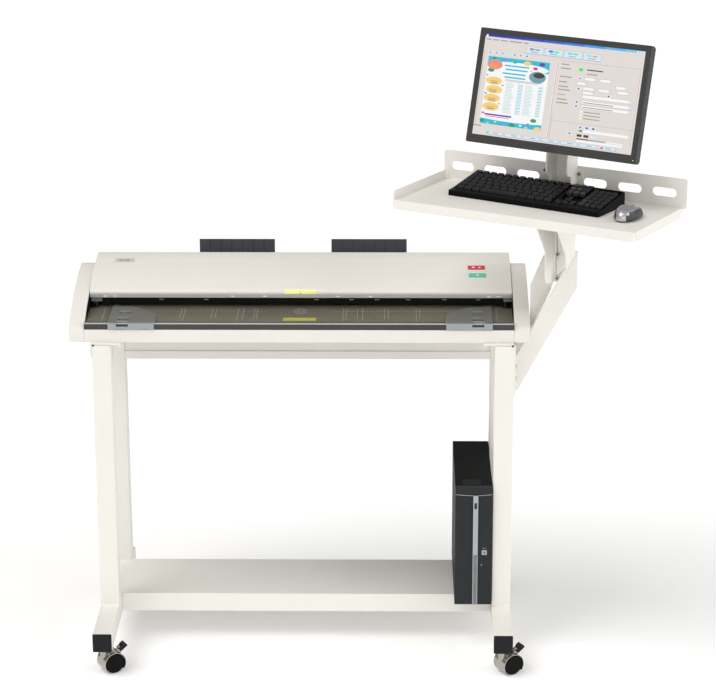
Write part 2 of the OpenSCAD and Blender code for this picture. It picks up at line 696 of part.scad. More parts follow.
// Left and right flanges of the mast: y, z
mast_left_flange = [[mast_back, 1030], [mast_back, mast_top], [0, mast_top], [0, 1242],
  [84, 1120], [84, 1048], [88, 1038], [97, 1033], [110, 1030]];
mast_right_flange = [[mast_back, 1112], [mast_back, mast_top], [0, mast_top], [0, 1242],
  [84, 1120], [84, 1083], [90, 1082]];

// Bent channel: back web with two gusset flanges and a top plate under the tray
module mast() color(arm_white) difference() {
  on_tray() union() {
    prism_y([mast_back - plate_t, mast_back])
      polygon([[mast_sides[0], 1030], [2, 1030], [mast_sides[1], 1112],
        [mast_sides[1], mast_top], [mast_sides[0], mast_top]]);
    prism_x([mast_sides[0], mast_sides[0] + plate_t]) polygon(mast_left_flange);
    prism_x([mast_sides[1] - plate_t, mast_sides[1]]) polygon(mast_right_flange);
    box([mast_sides[0], 0, tray_z - 6.5], [mast_sides[1], mast_back, tray_z - 2.6]);
  }
  mast_bolt_holes();
  on_tray() tray_bolt_holes([tray_z - 10, tray_z]);
  // slot for the arm's front plate
  prism_y([-67.5, -62.5])
    polygon([[604, 890], [670, 1033.5], [717.5, 1118.5], [726, 1118.5], [726, 1005],
      [600, 860]]);
}

// ---------- tray ----------
half_tray_w = tray_w / 2;
half_tray_d = tray_d / 2;
tray_t = 2.5;                     // sheet thickness
back_wall_t = 3;
lip_drop = 25;                    // depth of the turned-down lips

// Slot with round ends, lying along x
module oblong() {
  for (side = [-1, 1]) translate([side * 21.5, 0]) circle(11.5);
  translate([-21.5, -11.5]) square([43, 23]);
}
module keyboard_tray() color(tray_white) on_tray() difference() {
  union() {
    box([-half_tray_w, -half_tray_d, tray_z - tray_t], [half_tray_w, half_tray_d, tray_z]);
    // front lip, turned down
    prism_y([-half_tray_d, -half_tray_d + tray_t]) {
      rounded_rect(-half_tray_w, tray_z - lip_drop, half_tray_w - 4, tray_z, 5);
      rect(-half_tray_w, tray_z - 8, half_tray_w - 4, tray_z);
    }
    // right lip, turned down
    prism_x([half_tray_w - tray_t, half_tray_w]) {
      rounded_rect(-half_tray_d + 6, tray_z - lip_drop, half_tray_d, tray_z, 5);
      rect(-half_tray_d + 6, tray_z - 8, half_tray_d, tray_z);
    }
    // left lip, turned up
    prism_x([-half_tray_w, -half_tray_w + tray_t])
      polygon([[-half_tray_d, tray_z - 2], [-half_tray_d, tray_z + 17],
        [-half_tray_d + 5, tray_z + 23], [half_tray_d - 10, tray_z + 23],
        [half_tray_d - 10, tray_z - 2]]);
    box([-half_tray_w + 2, half_tray_d - 12, tray_z - tray_t],
        [half_tray_w, half_tray_d, tray_z]);
    // back wall, turned up
    prism_y([half_tray_d - back_wall_t, half_tray_d]) {
      rounded_rect(-half_tray_w - 6, tray_z - tray_t, half_tray_w + 12, tray_z + 76, 8);
      rect(-half_tray_w + 6, tray_z - tray_t, half_tray_w, tray_z + 20);
    }
  }
  for (x = [-292, -195, -97, 97, 195, 292])
    translate([x, half_tray_d + 1, tray_z + 36]) rotate([90, 0, 0]) linear_extrude(6) oblong();
  tray_bolt_holes([tray_z - 10, tray_z + 5]);
  post_bolt_holes();
}

// Cheek of the monitor post: y, z
post_cheek = [[142, 1303], [142, 1585], [135, 1585], [126, 1564], [121, 1552], [120, 1530],
  [120, 1450], [84, 1390], [80, 1372], [80, 1340], [86, 1330], [104, 1326], [104, 1306],
  [108, 1303]];
module monitor_post() color(tray_white) on_tray() difference() {
  web = [half_tray_d - 7, half_tray_d - back_wall_t];
  union() {
    // web with a foot plate that bolts to the tray's back wall
    box([mast_sides[0], web[0], tray_z + 25], [mast_sides[1], web[1], 1585]);
    box([-60, web[0], tray_z + 42], [63, web[1], tray_z + 71]);
    for (x = [mast_sides[0], mast_sides[1] - plate_t])
      prism_x([x, x + plate_t]) polygon(post_cheek);
  }
  post_bolt_holes();
  cyl_x([mast_x - 40, mast_x + 40], tilt_y, tilt_z, 4);
}

// Tilt head: pin between the post's cheeks, arm and plate behind the monitor
module tilt_head() color([0.2, 0.2, 0.22]) union() {
  on_tray() {
    cyl_x(mast_sides, tilt_y, tilt_z, 3.95);
    cyl_x([mast_x - 26.5, mast_x + 26.5], tilt_y, tilt_z, 5.5);
  }
  intersection() {
    on_tray() box([mast_x - 20, 60, tilt_z - 12], [mast_x + 20, tilt_y, tilt_z + 12]);
    on_monitor() box([-40, 50, -60], [40, 100, 60]);
  }
  on_monitor() box([-50, 50.2, -50], [50, 53.2, 50]);
}

// ---------- monitor ----------
bezel_w = 15.5;                   // top and side borders
chin_h = 22;                      // bottom border
half_mon_w = mon_w / 2;
half_mon_h = mon_h / 2;

// Outline of the monitor, drawn in from the bezel's edge by inset
module monitor_outline(inset, radius)
  rounded_rect(-half_mon_w - bezel_w + inset, -half_mon_h - chin_h + inset,
    half_mon_w + bezel_w - inset, half_mon_h + bezel_w - inset, radius);

module monitor_bezel() color([0.25, 0.25, 0.25]) on_monitor() difference() {
  prism_y([-2, 16]) monitor_outline(0, 4);
  box([-half_mon_w, -5, -half_mon_h], [half_mon_w, 5, half_mon_h]);
  box([-half_mon_w - 6, 0, -half_mon_h - 6], [half_mon_w + 6, 17, half_mon_h + 6]);
}
module lcd_panel() color([0.75, 0.75, 0.72]) on_monitor()
  box([-half_mon_w - 5, 0.2, -half_mon_h - 5], [half_mon_w + 5, 12, half_mon_h + 5]);
// Three steps, smaller towards the rear, hollow in the middle
module monitor_back_cover() color([0.12, 0.12, 0.13]) on_monitor() difference() {
  union() {
    prism_y([16, 24]) monitor_outline(1.5, 6);
    prism_y([23, 36]) rounded_rect(-200, -110, 200, 105, 30);
    prism_y([35, 50]) rounded_rect(-90, -90, 90, 80, 18);
  }
  prism_y([15, 46]) rounded_rect(-80, -80, 80, 70, 12);
  // row of slots near the top
  for (i = [-7:7]) box([i * 24 - 8, 30, 88], [i * 24 + 8, 40, 92]);
}

// ---------- keyboard and mouse ----------
keyboard_w = 440;
well_y = [-50, 66];               // front and rear of the key wells
well_rise = 24;                   // rise of the well floor over that depth
well_floor = 7;                   // floor height at the front
key_gap = 2.4;                    // gap between neighbouring keys
// Key wells: left edge, width
wells = [[-212, 285], [83, 57], [149, 70]];
// Key rows: left edge, front edge, pitch, key width, key depth, number of keys
key_rows = [
  // function row and four letter rows
  [-211, 48, 22, 19, 16.5, 13],
  [-211, 28, 19, 19, 18, 15],
  [-211, 9, 19, 19, 18, 15],
  [-211, -10, 21.9, 21.9, 18, 13],
  [-211, -29, 23.7, 23.7, 18, 12],
  // bottom row with the space bar
  [-211, -48.6, 24, 24, 18, 3],
  [-139, -48.6, 115, 115, 18, 1],
  [-24, -48.6, 24.3, 24.3, 18, 4],
  // navigation keys
  [83.8, 48, 19, 19, 16.5, 3],
  [83.8, 28, 19, 19, 18, 3],
  [83.8, 9, 19, 19, 18, 3],
  [102.8, -29, 19, 19, 18, 1],
  [83.8, -48.6, 19, 19, 18, 3],
  // number pad
  for (y = [28, 9, -10, -29, -48.6]) [150, y, 17.3, 17.3, 18, 4]
];

module on_keyboard() on_tray() translate([-18, 27, tray_z]) rotate([0, 0, -2.9]) children();
module keyboard_body() color([0.06, 0.06, 0.06]) on_keyboard() difference() {
  prism_x([-keyboard_w / 2, keyboard_w / 2])
    polygon([[-70, 0], [75, 0], [75, 34], [71, 38], [-50, 16], [-68, 15], [-70, 13]]);
  for (well = wells) prism_x([well[0], well[0] + well[1]])
    polygon([[well_y[0], well_floor], [well_y[1], well_floor + well_rise],
      [well_y[1], 60], [well_y[0], 60]]);
}

// Reference height of the keys at y, 2 above the well floor
function key_base(y) =
  well_floor + 2 + (y - well_y[0]) * well_rise / (well_y[1] - well_y[0]);
module key(x, y, width, depth)
  translate([x, y, 0]) rotate([90, 0, 90]) linear_extrude(width - key_gap)
    polygon([[0.9, key_base(y) + 1.4], [depth - 0.9, key_base(y + depth) + 1.4],
      [depth - 2.6, key_base(y + depth) + 11], [2.6, key_base(y) + 11.4]]);
module keyboard_keys() color([0.05, 0.05, 0.05]) on_keyboard()
  for (row = key_rows, i = [0:row[5] - 1]) key(row[0] + i * row[2], row[1], row[3], row[4]);

module mouse() color([0.7, 0.7, 0.7]) on_tray()
  translate([266, -20, tray_z]) rotate([0, 0, 4]) hull() {
    linear_extrude(2) rounded_rect(-35, -60, 35, 58, 28);
    translate([0, -20, 0]) intersection() {
      translate([0, 0, 8]) sphere(31, $fn = 24);
      translate([-40, -40, 0]) cube([80, 80, 60]);
    }
    translate([0, 30, 15.5]) sphere(15, $fn = 24);
  }

// ---------- computer ----------
// Local frame: mid-width, front of the raised strip, shelf top
module on_shelf() translate([457, -126, shelf_top]) children();
half_pc_w = pc_w / 2;
pc_wall = 1.5;
pc_floor = 4;                     // underside of the case above the shelf
front_t = 14;                     // depth of the front panel

module pc_case() color(pc_black) on_shelf() union() {
  // feet
  for (x = [-38, 38], y = [104, 310]) cyl_z([0, pc_floor + 0.5], x, y, 8);
  difference() {
    box([-half_pc_w, front_t, pc_floor], [half_pc_w, pc_d, pc_h]);
    box([-half_pc_w + pc_wall, front_t - 4, pc_floor + pc_wall],
        [half_pc_w - pc_wall, pc_d - pc_wall, pc_h - pc_wall]);
    // slots in the rear wall
    for (i = [0:10]) box([-36, pc_d - 5, 200 + i * 10], [30, pc_d + 5, 205 + i * 10]);
  }
}
module pc_front() color(pc_black) on_shelf() difference() {
  union() {
    // panel with a raised upright strip
    box([-half_pc_w, 3, pc_floor], [half_pc_w, front_t, pc_h]);
    box([-2, 0, pc_floor], [12, 4, pc_h - 22]);
  }
  // power button opening
  box([22.5, -1, 149], [36.5, 20, 163]);
  // small square recess and grooves in the strip
  box([2, -2, 285], [8, 9, 291]);
  for (i = [0:14]) box([0, -1, 12 + i * 9.2], [10, 2, 16 + i * 9.2]);
}
// Button with a neck and a wider retaining plate behind the panel
module pc_power_button() color([0.7, 0.7, 0.72]) on_shelf() union() {
  box([22.7, 1.8, 149.2], [36.3, 15, 162.8]);
  box([20.5, 15.2, 147], [38.5, 17, 165]);
  box([25, 14, 151], [34, 16, 161]);
}

left_side_frame();
right_side_frame();
foot_end_caps();
rear_cross_rail();
lower_shelf();
top_brackets();
frame_bolts();
caster_stems();
caster_hood_fl();
caster_hood_fr();
caster_hood_rl();
caster_hood_rr();
caster_wheels_fl();
caster_wheels_fr();
caster_wheels_rl();
caster_wheels_rr();
brake_lever_l();
brake_lever_r();
base_pan();
front_cover();
left_end_cap();
right_end_cap();
rear_cover();
paper_table();
nose_bar();
scan_glass();
scan_head();
side_plates();
roller_bearings();
front_feed_roller();
rear_feed_roller();
drive_motor();
motor_pulley();
drive_belt();
main_board();
left_return_guide();
right_return_guide();
left_side_guide();
right_side_guide();
top_cover();
pressure_frame();
front_pinch_roller();
rear_pinch_roller();
start_button();
stop_button();
hinge_pins();
arm_bracket();
mast();
keyboard_tray();
monitor_post();
tilt_head();
monitor_back_cover();
monitor_bezel();
lcd_panel();
keyboard_body();
keyboard_keys();
mouse();
pc_case();
pc_front();
pc_power_button();
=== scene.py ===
"""Sheet-fed wide-format scanner on a wheeled stand, with a monitor, keyboard and computer.

The scanner runs along X. The operator stands at -Y and looks towards +Y; +Z is up.
Sizes are in millimetres and are turned into metres when a mesh is written.
"""
import bpy, bmesh, math, random
from mathutils import Vector, Matrix


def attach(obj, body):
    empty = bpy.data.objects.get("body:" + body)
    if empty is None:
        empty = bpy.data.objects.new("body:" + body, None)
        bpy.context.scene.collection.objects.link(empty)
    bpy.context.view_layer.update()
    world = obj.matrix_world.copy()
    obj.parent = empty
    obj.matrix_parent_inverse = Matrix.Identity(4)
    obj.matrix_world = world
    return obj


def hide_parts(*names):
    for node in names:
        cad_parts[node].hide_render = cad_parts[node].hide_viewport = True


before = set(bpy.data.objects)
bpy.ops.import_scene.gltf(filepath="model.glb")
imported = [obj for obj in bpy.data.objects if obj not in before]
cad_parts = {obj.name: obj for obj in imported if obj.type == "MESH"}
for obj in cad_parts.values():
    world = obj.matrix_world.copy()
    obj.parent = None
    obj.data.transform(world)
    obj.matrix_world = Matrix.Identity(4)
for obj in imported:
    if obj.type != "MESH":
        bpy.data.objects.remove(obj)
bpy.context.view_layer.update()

MM = 0.001
rng = random.Random(7)


# ---------------------------------------------------------------- placing
def move(x, y, z):
    return Matrix.Translation((x, y, z))

def turn(degrees, axis):
    return Matrix.Rotation(math.radians(degrees), 4, axis)

def plane(origin, along, across):
    """Local frame at origin, with x along one vector and y along the other."""
    x_axis, y_axis = Vector(along).normalized(), Vector(across).normalized()
    axes = Matrix((x_axis, y_axis, x_axis.cross(y_axis))).transposed()
    return Matrix.Translation(origin) @ axes.to_4x4()

def front_face(x, y, z):
    """Upright plane facing -Y, local x to the right."""
    return plane((x, y, z), (1, 0, 0), (0, 0, 1))

def rear_face(x, y, z):
    """Upright plane facing +Y, local x to -X."""
    return plane((x, y, z), (-1, 0, 0), (0, 0, 1))

def right_face(x, y=0, z=0):
    """Upright plane facing +X, local x to +Y."""
    return plane((x, y, z), (0, 1, 0), (0, 0, 1))


CENTRE_X = -10.0            # middle of the paper path
COVER_HALF = 569.5          # half the length of the front cover
TABLE_FRONT_Y, TABLE_FRONT_Z = -78, 921
TABLE_RUN, TABLE_RISE = 145, 7
MARK_LIFT = 0.02            # printed marks float this far off the table

TRAY = move(607.8, -173, 0) @ turn(-29.6, "Z")
MONITOR = TRAY @ move(24, 57, 1551) @ turn(-3.4, "Z") @ turn(-14.2, "X")
KEYBOARD = TRAY @ move(-18, 27, 1271) @ turn(-2.9, "Z")
MOUSE = TRAY @ move(266, -20, 1271) @ turn(4, "Z")
SCREEN_HALF_W, SCREEN_HALF_H = 233.0, 130.0
PC_X, PC_Y, PC_Z = 457.0, -126.0, 132.0     # bottom middle of the computer's front
PC_HEIGHT, PC_DEPTH = 344, 376
STOP_CENTRE, START_CENTRE = (465, 146, 1012.1), (467, 106, 1001.6)
BUTTON_TILT = 14.5

def table_z(y):
    return TABLE_FRONT_Z + (y - TABLE_FRONT_Y) * TABLE_RISE / TABLE_RUN

def on_table(y):
    return plane((CENTRE_X, y, table_z(y) + MARK_LIFT), (1, 0, 0), (0, TABLE_RUN, TABLE_RISE))


# ---------------------------------------------------------------- materials
MATERIALS = {}

def add_node(tree, kind, values={}):
    node = tree.nodes.new("ShaderNode" + kind)
    for socket, value in values.items():
        node.inputs[socket].default_value = value
    return node

class Shader:
    """A new material holding one Principled shader, with object coordinates to hand."""
    def __init__(self, name):
        self.material = MATERIALS[name] = bpy.data.materials.new(name)
        self.material.use_nodes = True
        self.tree = self.material.node_tree
        self.tree.nodes.clear()
        output = self.add("OutputMaterial")
        self.principled = self.add("BsdfPrincipled")
        self.link(self.principled.outputs[0], output.inputs[0])
        self.coords = self.add("TexCoord").outputs["Object"]

    def add(self, kind, values={}):
        return add_node(self.tree, kind, values)

    def link(self, source, target):
        self.tree.links.new(source, target)

    def drive(self, source, socket):
        self.link(source, self.principled.inputs[socket])

    def set(self, values):
        for socket, value in values.items():
            self.principled.inputs[socket].default_value = value

    def noise(self, scale, detail=2.0, rough=0.5, vector=None):
        node = self.add("TexNoise", {"Scale": scale, "Detail": detail, "Roughness": rough})
        self.link(vector or self.coords, node.inputs["Vector"])
        return node.outputs[0]

    def ramp(self, source, low, high, start=0.0, end=1.0):
        node = self.add("ValToRGB")
        for stop, place, color in zip(node.color_ramp.elements, (start, end), (low, high)):
            stop.position = place
            stop.color = color
        self.link(source, node.inputs[0])
        return node.outputs[0]

    def dusted(self, color, dust):
        """Mix patchy grey dust over the faces that look up."""
        normal = self.add("NewGeometry").outputs["Normal"]
        split = self.add("SeparateXYZ")
        self.link(normal, split.inputs[0])
        upward = self.ramp(split.outputs[2], (0, 0, 0, 1), (dust, dust, dust, 1), start=0.55)
        patches = self.ramp(self.noise(scale=35.0, detail=6.0, rough=0.7),
                            (0, 0, 0, 1), (1, 1, 1, 1), start=0.35, end=0.8)
        amount = self.add("Math")
        amount.operation = "MULTIPLY"
        self.link(upward, amount.inputs[0])
        self.link(patches, amount.inputs[1])
        mix = self.add("MixRGB")
        self.link(amount.outputs[0], mix.inputs[0])
        self.link(color, mix.inputs[1])
        mix.inputs[2].default_value = (0.55, 0.53, 0.50, 1)
        return mix.outputs[0]

def surface(name, base, rough=0.45, metal=0.0, spec=0.5, grain=900.0, depth=0.15, bump=0.10,
            drift=0.03, drift_scale=6.0, rough_drift=0.06, brushed=None, coat=0.0,
            coat_rough=0.1, dust=0.0, emit=None, emit_strength=0.0, trans=0.0):
    """Layered finish: colour drift, roughness drift and fine bump.

    grain is the bump noise scale, depth its height in mm and bump its strength;
    brushed stretches the grain along an axis.
    """
    shader = Shader(name)
    color = shader.ramp(shader.noise(drift_scale, detail=5.0, rough=0.55),
                        [max(0.0, c * (1 - drift)) for c in base] + [1],
                        [min(1.0, c * (1 + drift)) for c in base] + [1], start=0.32, end=0.68)
    if dust:
        color = shader.dusted(color, dust)
    shader.drive(color, "Base Color")
    rough_noise = shader.noise(scale=18.0, detail=5.0, rough=0.6)
    rough_range = shader.add("MapRange", {"To Min": max(0.02, rough - rough_drift),
                                          "To Max": min(1.0, rough + rough_drift)})
    shader.link(rough_noise, rough_range.inputs["Value"])
    shader.drive(rough_range.outputs[0], "Roughness")
    vector = None
    if brushed:
        mapping = shader.add("Mapping", {"Scale": brushed})
        shader.link(shader.coords, mapping.inputs["Vector"])
        vector = mapping.outputs[0]
    grain_noise = shader.noise(grain, detail=3.0, rough=0.6, vector=vector)
    relief = shader.add("Bump", {"Strength": bump, "Distance": depth * MM})
    shader.link(grain_noise, relief.inputs["Height"])
    shader.drive(relief.outputs[0], "Normal")
    shader.set({"Metallic": metal, "Specular IOR Level": spec})
    if coat:
        shader.set({"Coat Weight": coat, "Coat Roughness": coat_rough})
    if emit:
        shader.set({"Emission Color": (*emit, 1), "Emission Strength": emit_strength})
    if trans:
        shader.set({"Transmission Weight": trans, "IOR": 1.5})

# stand
surface("powder_coat", base=(0.835, 0.815, 0.765), rough=0.42, grain=1100, depth=0.12, bump=0.35,
        drift=0.012, spec=0.45, rough_drift=0.05)
surface("cover_textured", base=(0.80, 0.775, 0.725), rough=0.46, grain=2200, depth=0.06,
        bump=0.30, drift=0.012, spec=0.42, rough_drift=0.05)
surface("cap_black", base=(0.006, 0.006, 0.0085), rough=0.50, grain=1500, depth=0.10, bump=0.4,
        drift=0.15, dust=0.02, spec=0.25)
surface("zinc_bolt", base=(0.50, 0.50, 0.51), rough=0.34, metal=1.0, grain=600, depth=0.05,
        bump=0.3, drift=0.08)
# near-black for painted shade in bolt sockets and bolt holes
surface("socket_painted_shade", base=(0.03, 0.03, 0.03), rough=0.6, metal=0.6)
surface("chrome_hood", base=(0.40, 0.385, 0.35), rough=0.13, metal=1.0, grain=300, depth=0.02,
        bump=0.2, rough_drift=0.05)
surface("wheel_nylon", base=(0.0035, 0.0035, 0.0035), depth=0.08, bump=0.3, drift=0.25,
        dust=0.01, rough_drift=0.1, spec=0.10)
surface("wheel_tread", base=(0.016, 0.0155, 0.015), rough=0.72, grain=1300, depth=0.1, bump=0.5,
        drift=0.2, dust=0.05, spec=0.2)
# scanner
surface("table_dark", base=(0.178, 0.165, 0.126), rough=0.40, metal=0.12, grain=1600, depth=0.05,
        bump=0.35, drift=0.06, drift_scale=9.0, coat=0.08, coat_rough=0.3,
        brushed=(0.15, 1.0, 1.0), rough_drift=0.08, spec=0.3)
surface("nose_anodised", base=(0.058, 0.058, 0.051), rough=0.38, metal=0.30, grain=1600,
        depth=0.05, bump=0.35, drift=0.08, brushed=(0.05, 1, 1), spec=0.3)
# lighter metal for the painted highlight on the nose's front edge
surface("nose_painted_highlight", base=(0.55, 0.56, 0.54), rough=0.30, metal=0.3, grain=1200, drift=0.05)
surface("table_line", base=(0.33, 0.32, 0.29), rough=0.5, drift=0.12, drift_scale=60)
surface("table_line_faint", base=(0.20, 0.195, 0.17), rough=0.5, drift=0.12, drift_scale=60)
surface("scan_glass_clear", base=(0.75, 0.82, 0.82), rough=0.03, grain=200, depth=0.01,
        bump=0.05, drift=0.01, trans=0.85, rough_drift=0.01)
surface("black_moulding", base=(0.005, 0.0048, 0.0048), rough=0.55, grain=1500, depth=0.08,
        bump=0.4, drift=0.2, spec=0.15)
surface("plate_steel", base=(0.42, 0.43, 0.44), rough=0.36, metal=1.0, grain=1400, depth=0.03,
        bump=0.4, drift=0.06, brushed=(1, 0.06, 1))
surface("sintered_bronze", base=(0.46, 0.30, 0.12), rough=0.42, metal=1.0, grain=2400,
        depth=0.05, bump=0.5, drift=0.12)
surface("ground_rubber", base=(0.028, 0.028, 0.03), rough=0.68, grain=2600, depth=0.08,
        bump=0.5, drift=0.12)
surface("motor_black", base=(0.02, 0.02, 0.022), rough=0.35, metal=0.3, grain=800, drift=0.1)
surface("turned_alloy", base=(0.62, 0.63, 0.65), rough=0.30, metal=1.0, grain=1500, depth=0.03,
        bump=0.4, drift=0.05, brushed=(1, 0.1, 0.1))
surface("belt_rubber", base=(0.012, 0.012, 0.012), rough=0.75, grain=1800, drift=0.1)
surface("solder_mask", base=(0.012, 0.11, 0.045), rough=0.30, grain=700, depth=0.05, drift=0.12,
        drift_scale=50)
surface("contact_gold", base=(0.75, 0.52, 0.18), rough=0.3, metal=1.0)
surface("slate_plastic", base=(0.058, 0.057, 0.072), rough=0.46, grain=1500, depth=0.06,
        bump=0.35, drift=0.08, spec=0.25)
surface("guide_plastic", base=(0.32, 0.355, 0.37), rough=0.40, grain=1700, depth=0.05, bump=0.3,
        coat=0.05, coat_rough=0.3, spec=0.35)
surface("guide_plastic_upper", base=(0.175, 0.172, 0.157), rough=0.42, grain=1700, depth=0.05,
        bump=0.3, spec=0.3)
surface("button_red", base=(0.68, 0.048, 0.055), rough=0.30, depth=0.02, drift=0.04, coat=0.2,
        spec=0.35)
surface("button_green", base=(0.13, 0.60, 0.43), rough=0.30, depth=0.02, drift=0.04, coat=0.2,
        spec=0.35)
surface("white_plastic", base=(0.86, 0.86, 0.85), rough=0.30, grain=1500, depth=0.03,
        drift=0.01, coat=0.2)
# the yellow label's faint glow is painted light that makes it brighter
surface("yellow_label", base=(0.99, 0.98, 0.27), grain=1200, depth=0.02, drift=0.01, spec=0.2,
        emit=(1.0, 1.0, 0.30), emit_strength=0.10)
surface("yellow_label_worn", base=(0.46, 0.47, 0.075), grain=1200, depth=0.02, drift=0.10,
        drift_scale=60)
surface("badge_cream", base=(0.66, 0.62, 0.52), rough=0.32, metal=0.05, grain=1200, depth=0.02)
surface("badge_inlay", base=(0.10, 0.10, 0.12), rough=0.35, metal=0.3, grain=1200, drift=0.05)
# monitor, keyboard, mouse and computer
surface("bezel_black", base=(0.044, 0.044, 0.043), rough=0.46, grain=2000, depth=0.06, bump=0.4,
        drift=0.05, spec=0.25)
surface("monitor_back", base=(0.022, 0.022, 0.024), rough=0.46, grain=1400, depth=0.10,
        bump=0.5, drift=0.08)
surface("key_black", base=(0.0040, 0.0040, 0.0045), rough=0.24, grain=1900, depth=0.05,
        bump=0.35, drift=0.12, spec=0.36)
surface("keyboard_black", base=(0.0025, 0.0025, 0.003), rough=0.42, grain=1700, depth=0.05,
        bump=0.4, drift=0.12, spec=0.08)
surface("led_green", base=(0.1, 0.6, 0.2), rough=0.3, emit=(0.15, 0.9, 0.3), emit_strength=0.6)
surface("mouse_silver", base=(0.50, 0.50, 0.515), rough=0.26, metal=0.75, grain=3000, depth=0.03,
        bump=0.3, coat=0.5, coat_rough=0.12)
surface("mouse_side", base=(0.035, 0.036, 0.04), rough=0.38, grain=1700, depth=0.05, drift=0.1)
surface("pc_black", base=(0.0045, 0.0045, 0.0045), rough=0.50, grain=1300, depth=0.08,
        bump=0.45, drift=0.10, spec=0.07)
surface("pc_front_graphite", base=(0.019, 0.0225, 0.024), rough=0.40, metal=0.05, grain=1700,
        depth=0.03, bump=0.3, drift=0.06, spec=0.22)
surface("pc_silver", base=(0.40, 0.42, 0.43), rough=0.30, metal=0.45, grain=1700, depth=0.02,
        brushed=(1, 1, 0.05))
surface("pc_recess", base=(0.006, 0.006, 0.007), rough=0.55, drift=0.1)
# further scanner finishes
surface("bump_ivory", base=(0.86, 0.85, 0.82), rough=0.35, grain=1200, drift=0.02)
surface("grey_block", base=(0.20, 0.24, 0.26), rough=0.42, grain=1200, drift=0.06)
surface("plate_steel_dark", base=(0.035, 0.035, 0.037), rough=0.50, metal=0.5, grain=1400,
        depth=0.03, bump=0.4, drift=0.06)
# spare, not assigned to any piece
surface("rail_paint", base=(0.80, 0.785, 0.735), rough=0.42, grain=1100, depth=0.12, bump=0.35,
        drift=0.012)

# Screen colours in sRGB; blue_0 to blue_7 run across the title bar.
SCREEN_COLORS = {
    "bg": (0.90, 0.865, 0.845), "panel": (0.915, 0.88, 0.86), "edge": (0.72, 0.69, 0.68),
    "white": (0.985, 0.985, 0.985), "blue": (0.02, 0.16, 0.78), "blue2": (0.12, 0.55, 0.93),
    "blue3": (0.45, 0.85, 0.98), "btn": (0.86, 0.925, 0.985), "btnedge": (0.55, 0.66, 0.80),
    "cyan": (0.05, 0.74, 0.86), "orange": (0.97, 0.60, 0.40), "sand": (0.97, 0.83, 0.50),
    "pink": (0.90, 0.08, 0.66), "green": (0.05, 0.62, 0.36), "lime": (0.15, 0.95, 0.35),
    "violet": (0.36, 0.16, 0.66), "grey": (0.62, 0.60, 0.60), "dark": (0.16, 0.15, 0.15),
    "mint": (0.70, 0.86, 0.86), "red": (0.9, 0.15, 0.2), "salmon": (0.93, 0.55, 0.48),
    "teal": (0.40, 0.62, 0.66),
    "blue_0": (0.02, 0.12, 0.70), "blue_1": (0.02, 0.18, 0.76), "blue_2": (0.04, 0.26, 0.82),
    "blue_3": (0.08, 0.36, 0.87), "blue_4": (0.13, 0.48, 0.91), "blue_5": (0.22, 0.60, 0.94),
    "blue_6": (0.33, 0.71, 0.96), "blue_7": (0.45, 0.80, 0.97)}

def linear(color):
    """sRGB to linear light."""
    return [((v + 0.055) / 1.055) ** 2.4 if v > 0.04045 else v / 12.92 for v in color]

def lit_screen(name, color):
    """Glowing screen colour with a very fine flicker of brightness."""
    shader = Shader(name)
    glow = shader.ramp(shader.noise(scale=2500), [v * 0.97 for v in color] + [1], color + [1])
    shader.drive(glow, "Emission Color")
    shader.set({"Base Color": (0.02, 0.02, 0.02, 1), "Emission Strength": 0.93,
                "Roughness": 0.42})

for key, color in SCREEN_COLORS.items():
    lit_screen("screen_" + key, linear(color))


# ---------------------------------------------------------------- mesh helpers
def round_edges(part, width, segments, angle):
    bevel = part.modifiers.new("bevel", "BEVEL")
    bevel.width = width * MM
    bevel.segments = segments
    bevel.limit_method = "ANGLE"
    bevel.angle_limit = math.radians(angle)
    part.modifiers.new("wn", "WEIGHTED_NORMAL").keep_sharp = True

def split_edges(part, angle):
    part.modifiers.new("split", "EDGE_SPLIT").split_angle = math.radians(angle)

def link_object(name, data):
    item = bpy.data.objects.new(name, data)
    bpy.context.collection.objects.link(item)
    return item

class Piece:
    """Gathers extruded outlines into one mesh with several material slots."""
    def __init__(self, name, *materials):
        self.name, self.materials, self.mesh = name, materials, bmesh.new()

    def prism(self, outline, depth, material, place=Matrix.Identity(4)):
        """Extrude an outline in the local XY plane along local +Z."""
        area = sum(outline[i - 1][0] * outline[i][1] - outline[i][0] * outline[i - 1][1]
                   for i in range(len(outline)))
        if area < 0:
            outline = outline[::-1]
        low, high = [[self.mesh.verts.new((place @ Vector((x, y, z))) * MM) for x, y in outline]
                     for z in (0, depth)]
        count = len(outline)
        loops = [low[::-1], high]
        for i in range(count):
            j = (i + 1) % count
            loops.append((low[i], low[j], high[j], high[i]))
        for loop in loops:
            self.mesh.faces.new(loop).material_index = self.materials.index(material)

    def box(self, a, b, material, place=Matrix.Identity(4)):
        self.prism([(a[0], a[1]), (b[0], a[1]), (b[0], b[1]), (a[0], b[1])], b[2] - a[2],
                   material, place @ move(0, 0, a[2]))

    def disc(self, centre, radius, depth, material, place, sides, radius_y=None):
        x, y, z = centre
        angles = [2 * math.pi * i / sides for i in range(sides)]
        outline = [(x + radius * math.cos(a), y + (radius_y or radius) * math.sin(a))
                   for a in angles]
        self.prism(outline, depth, material, place @ move(0, 0, z))

    def finish(self, body, bevel=0.0, segments=2, smooth=False):
        bmesh.ops.recalc_face_normals(self.mesh, faces=self.mesh.faces)
        data = bpy.data.meshes.new(self.name)
        self.mesh.to_mesh(data)
        self.mesh.free()
        for name in self.materials:
            data.materials.append(MATERIALS[name])
        part = link_object(self.name, data)
        if smooth or bevel:
            for face in data.polygons:
                face.use_smooth = True
        if bevel:
            round_edges(part, bevel, segments, angle=30)
        elif smooth:
            split_edges(part, angle=35)
        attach(part, body)

def round_rect(x0, y0, x1, y1, radius):
    points, steps = [], 5
    for x, y, start in ((x1 - radius, y1 - radius, 0), (x0 + radius, y1 - radius, 90),
                        (x0 + radius, y0 + radius, 180), (x1 - radius, y0 + radius, 270)):
        for i in range(steps + 1):
            a = math.radians(start + 90 * i / steps)
            points.append((x + radius * math.cos(a), y + radius * math.sin(a)))
    return points


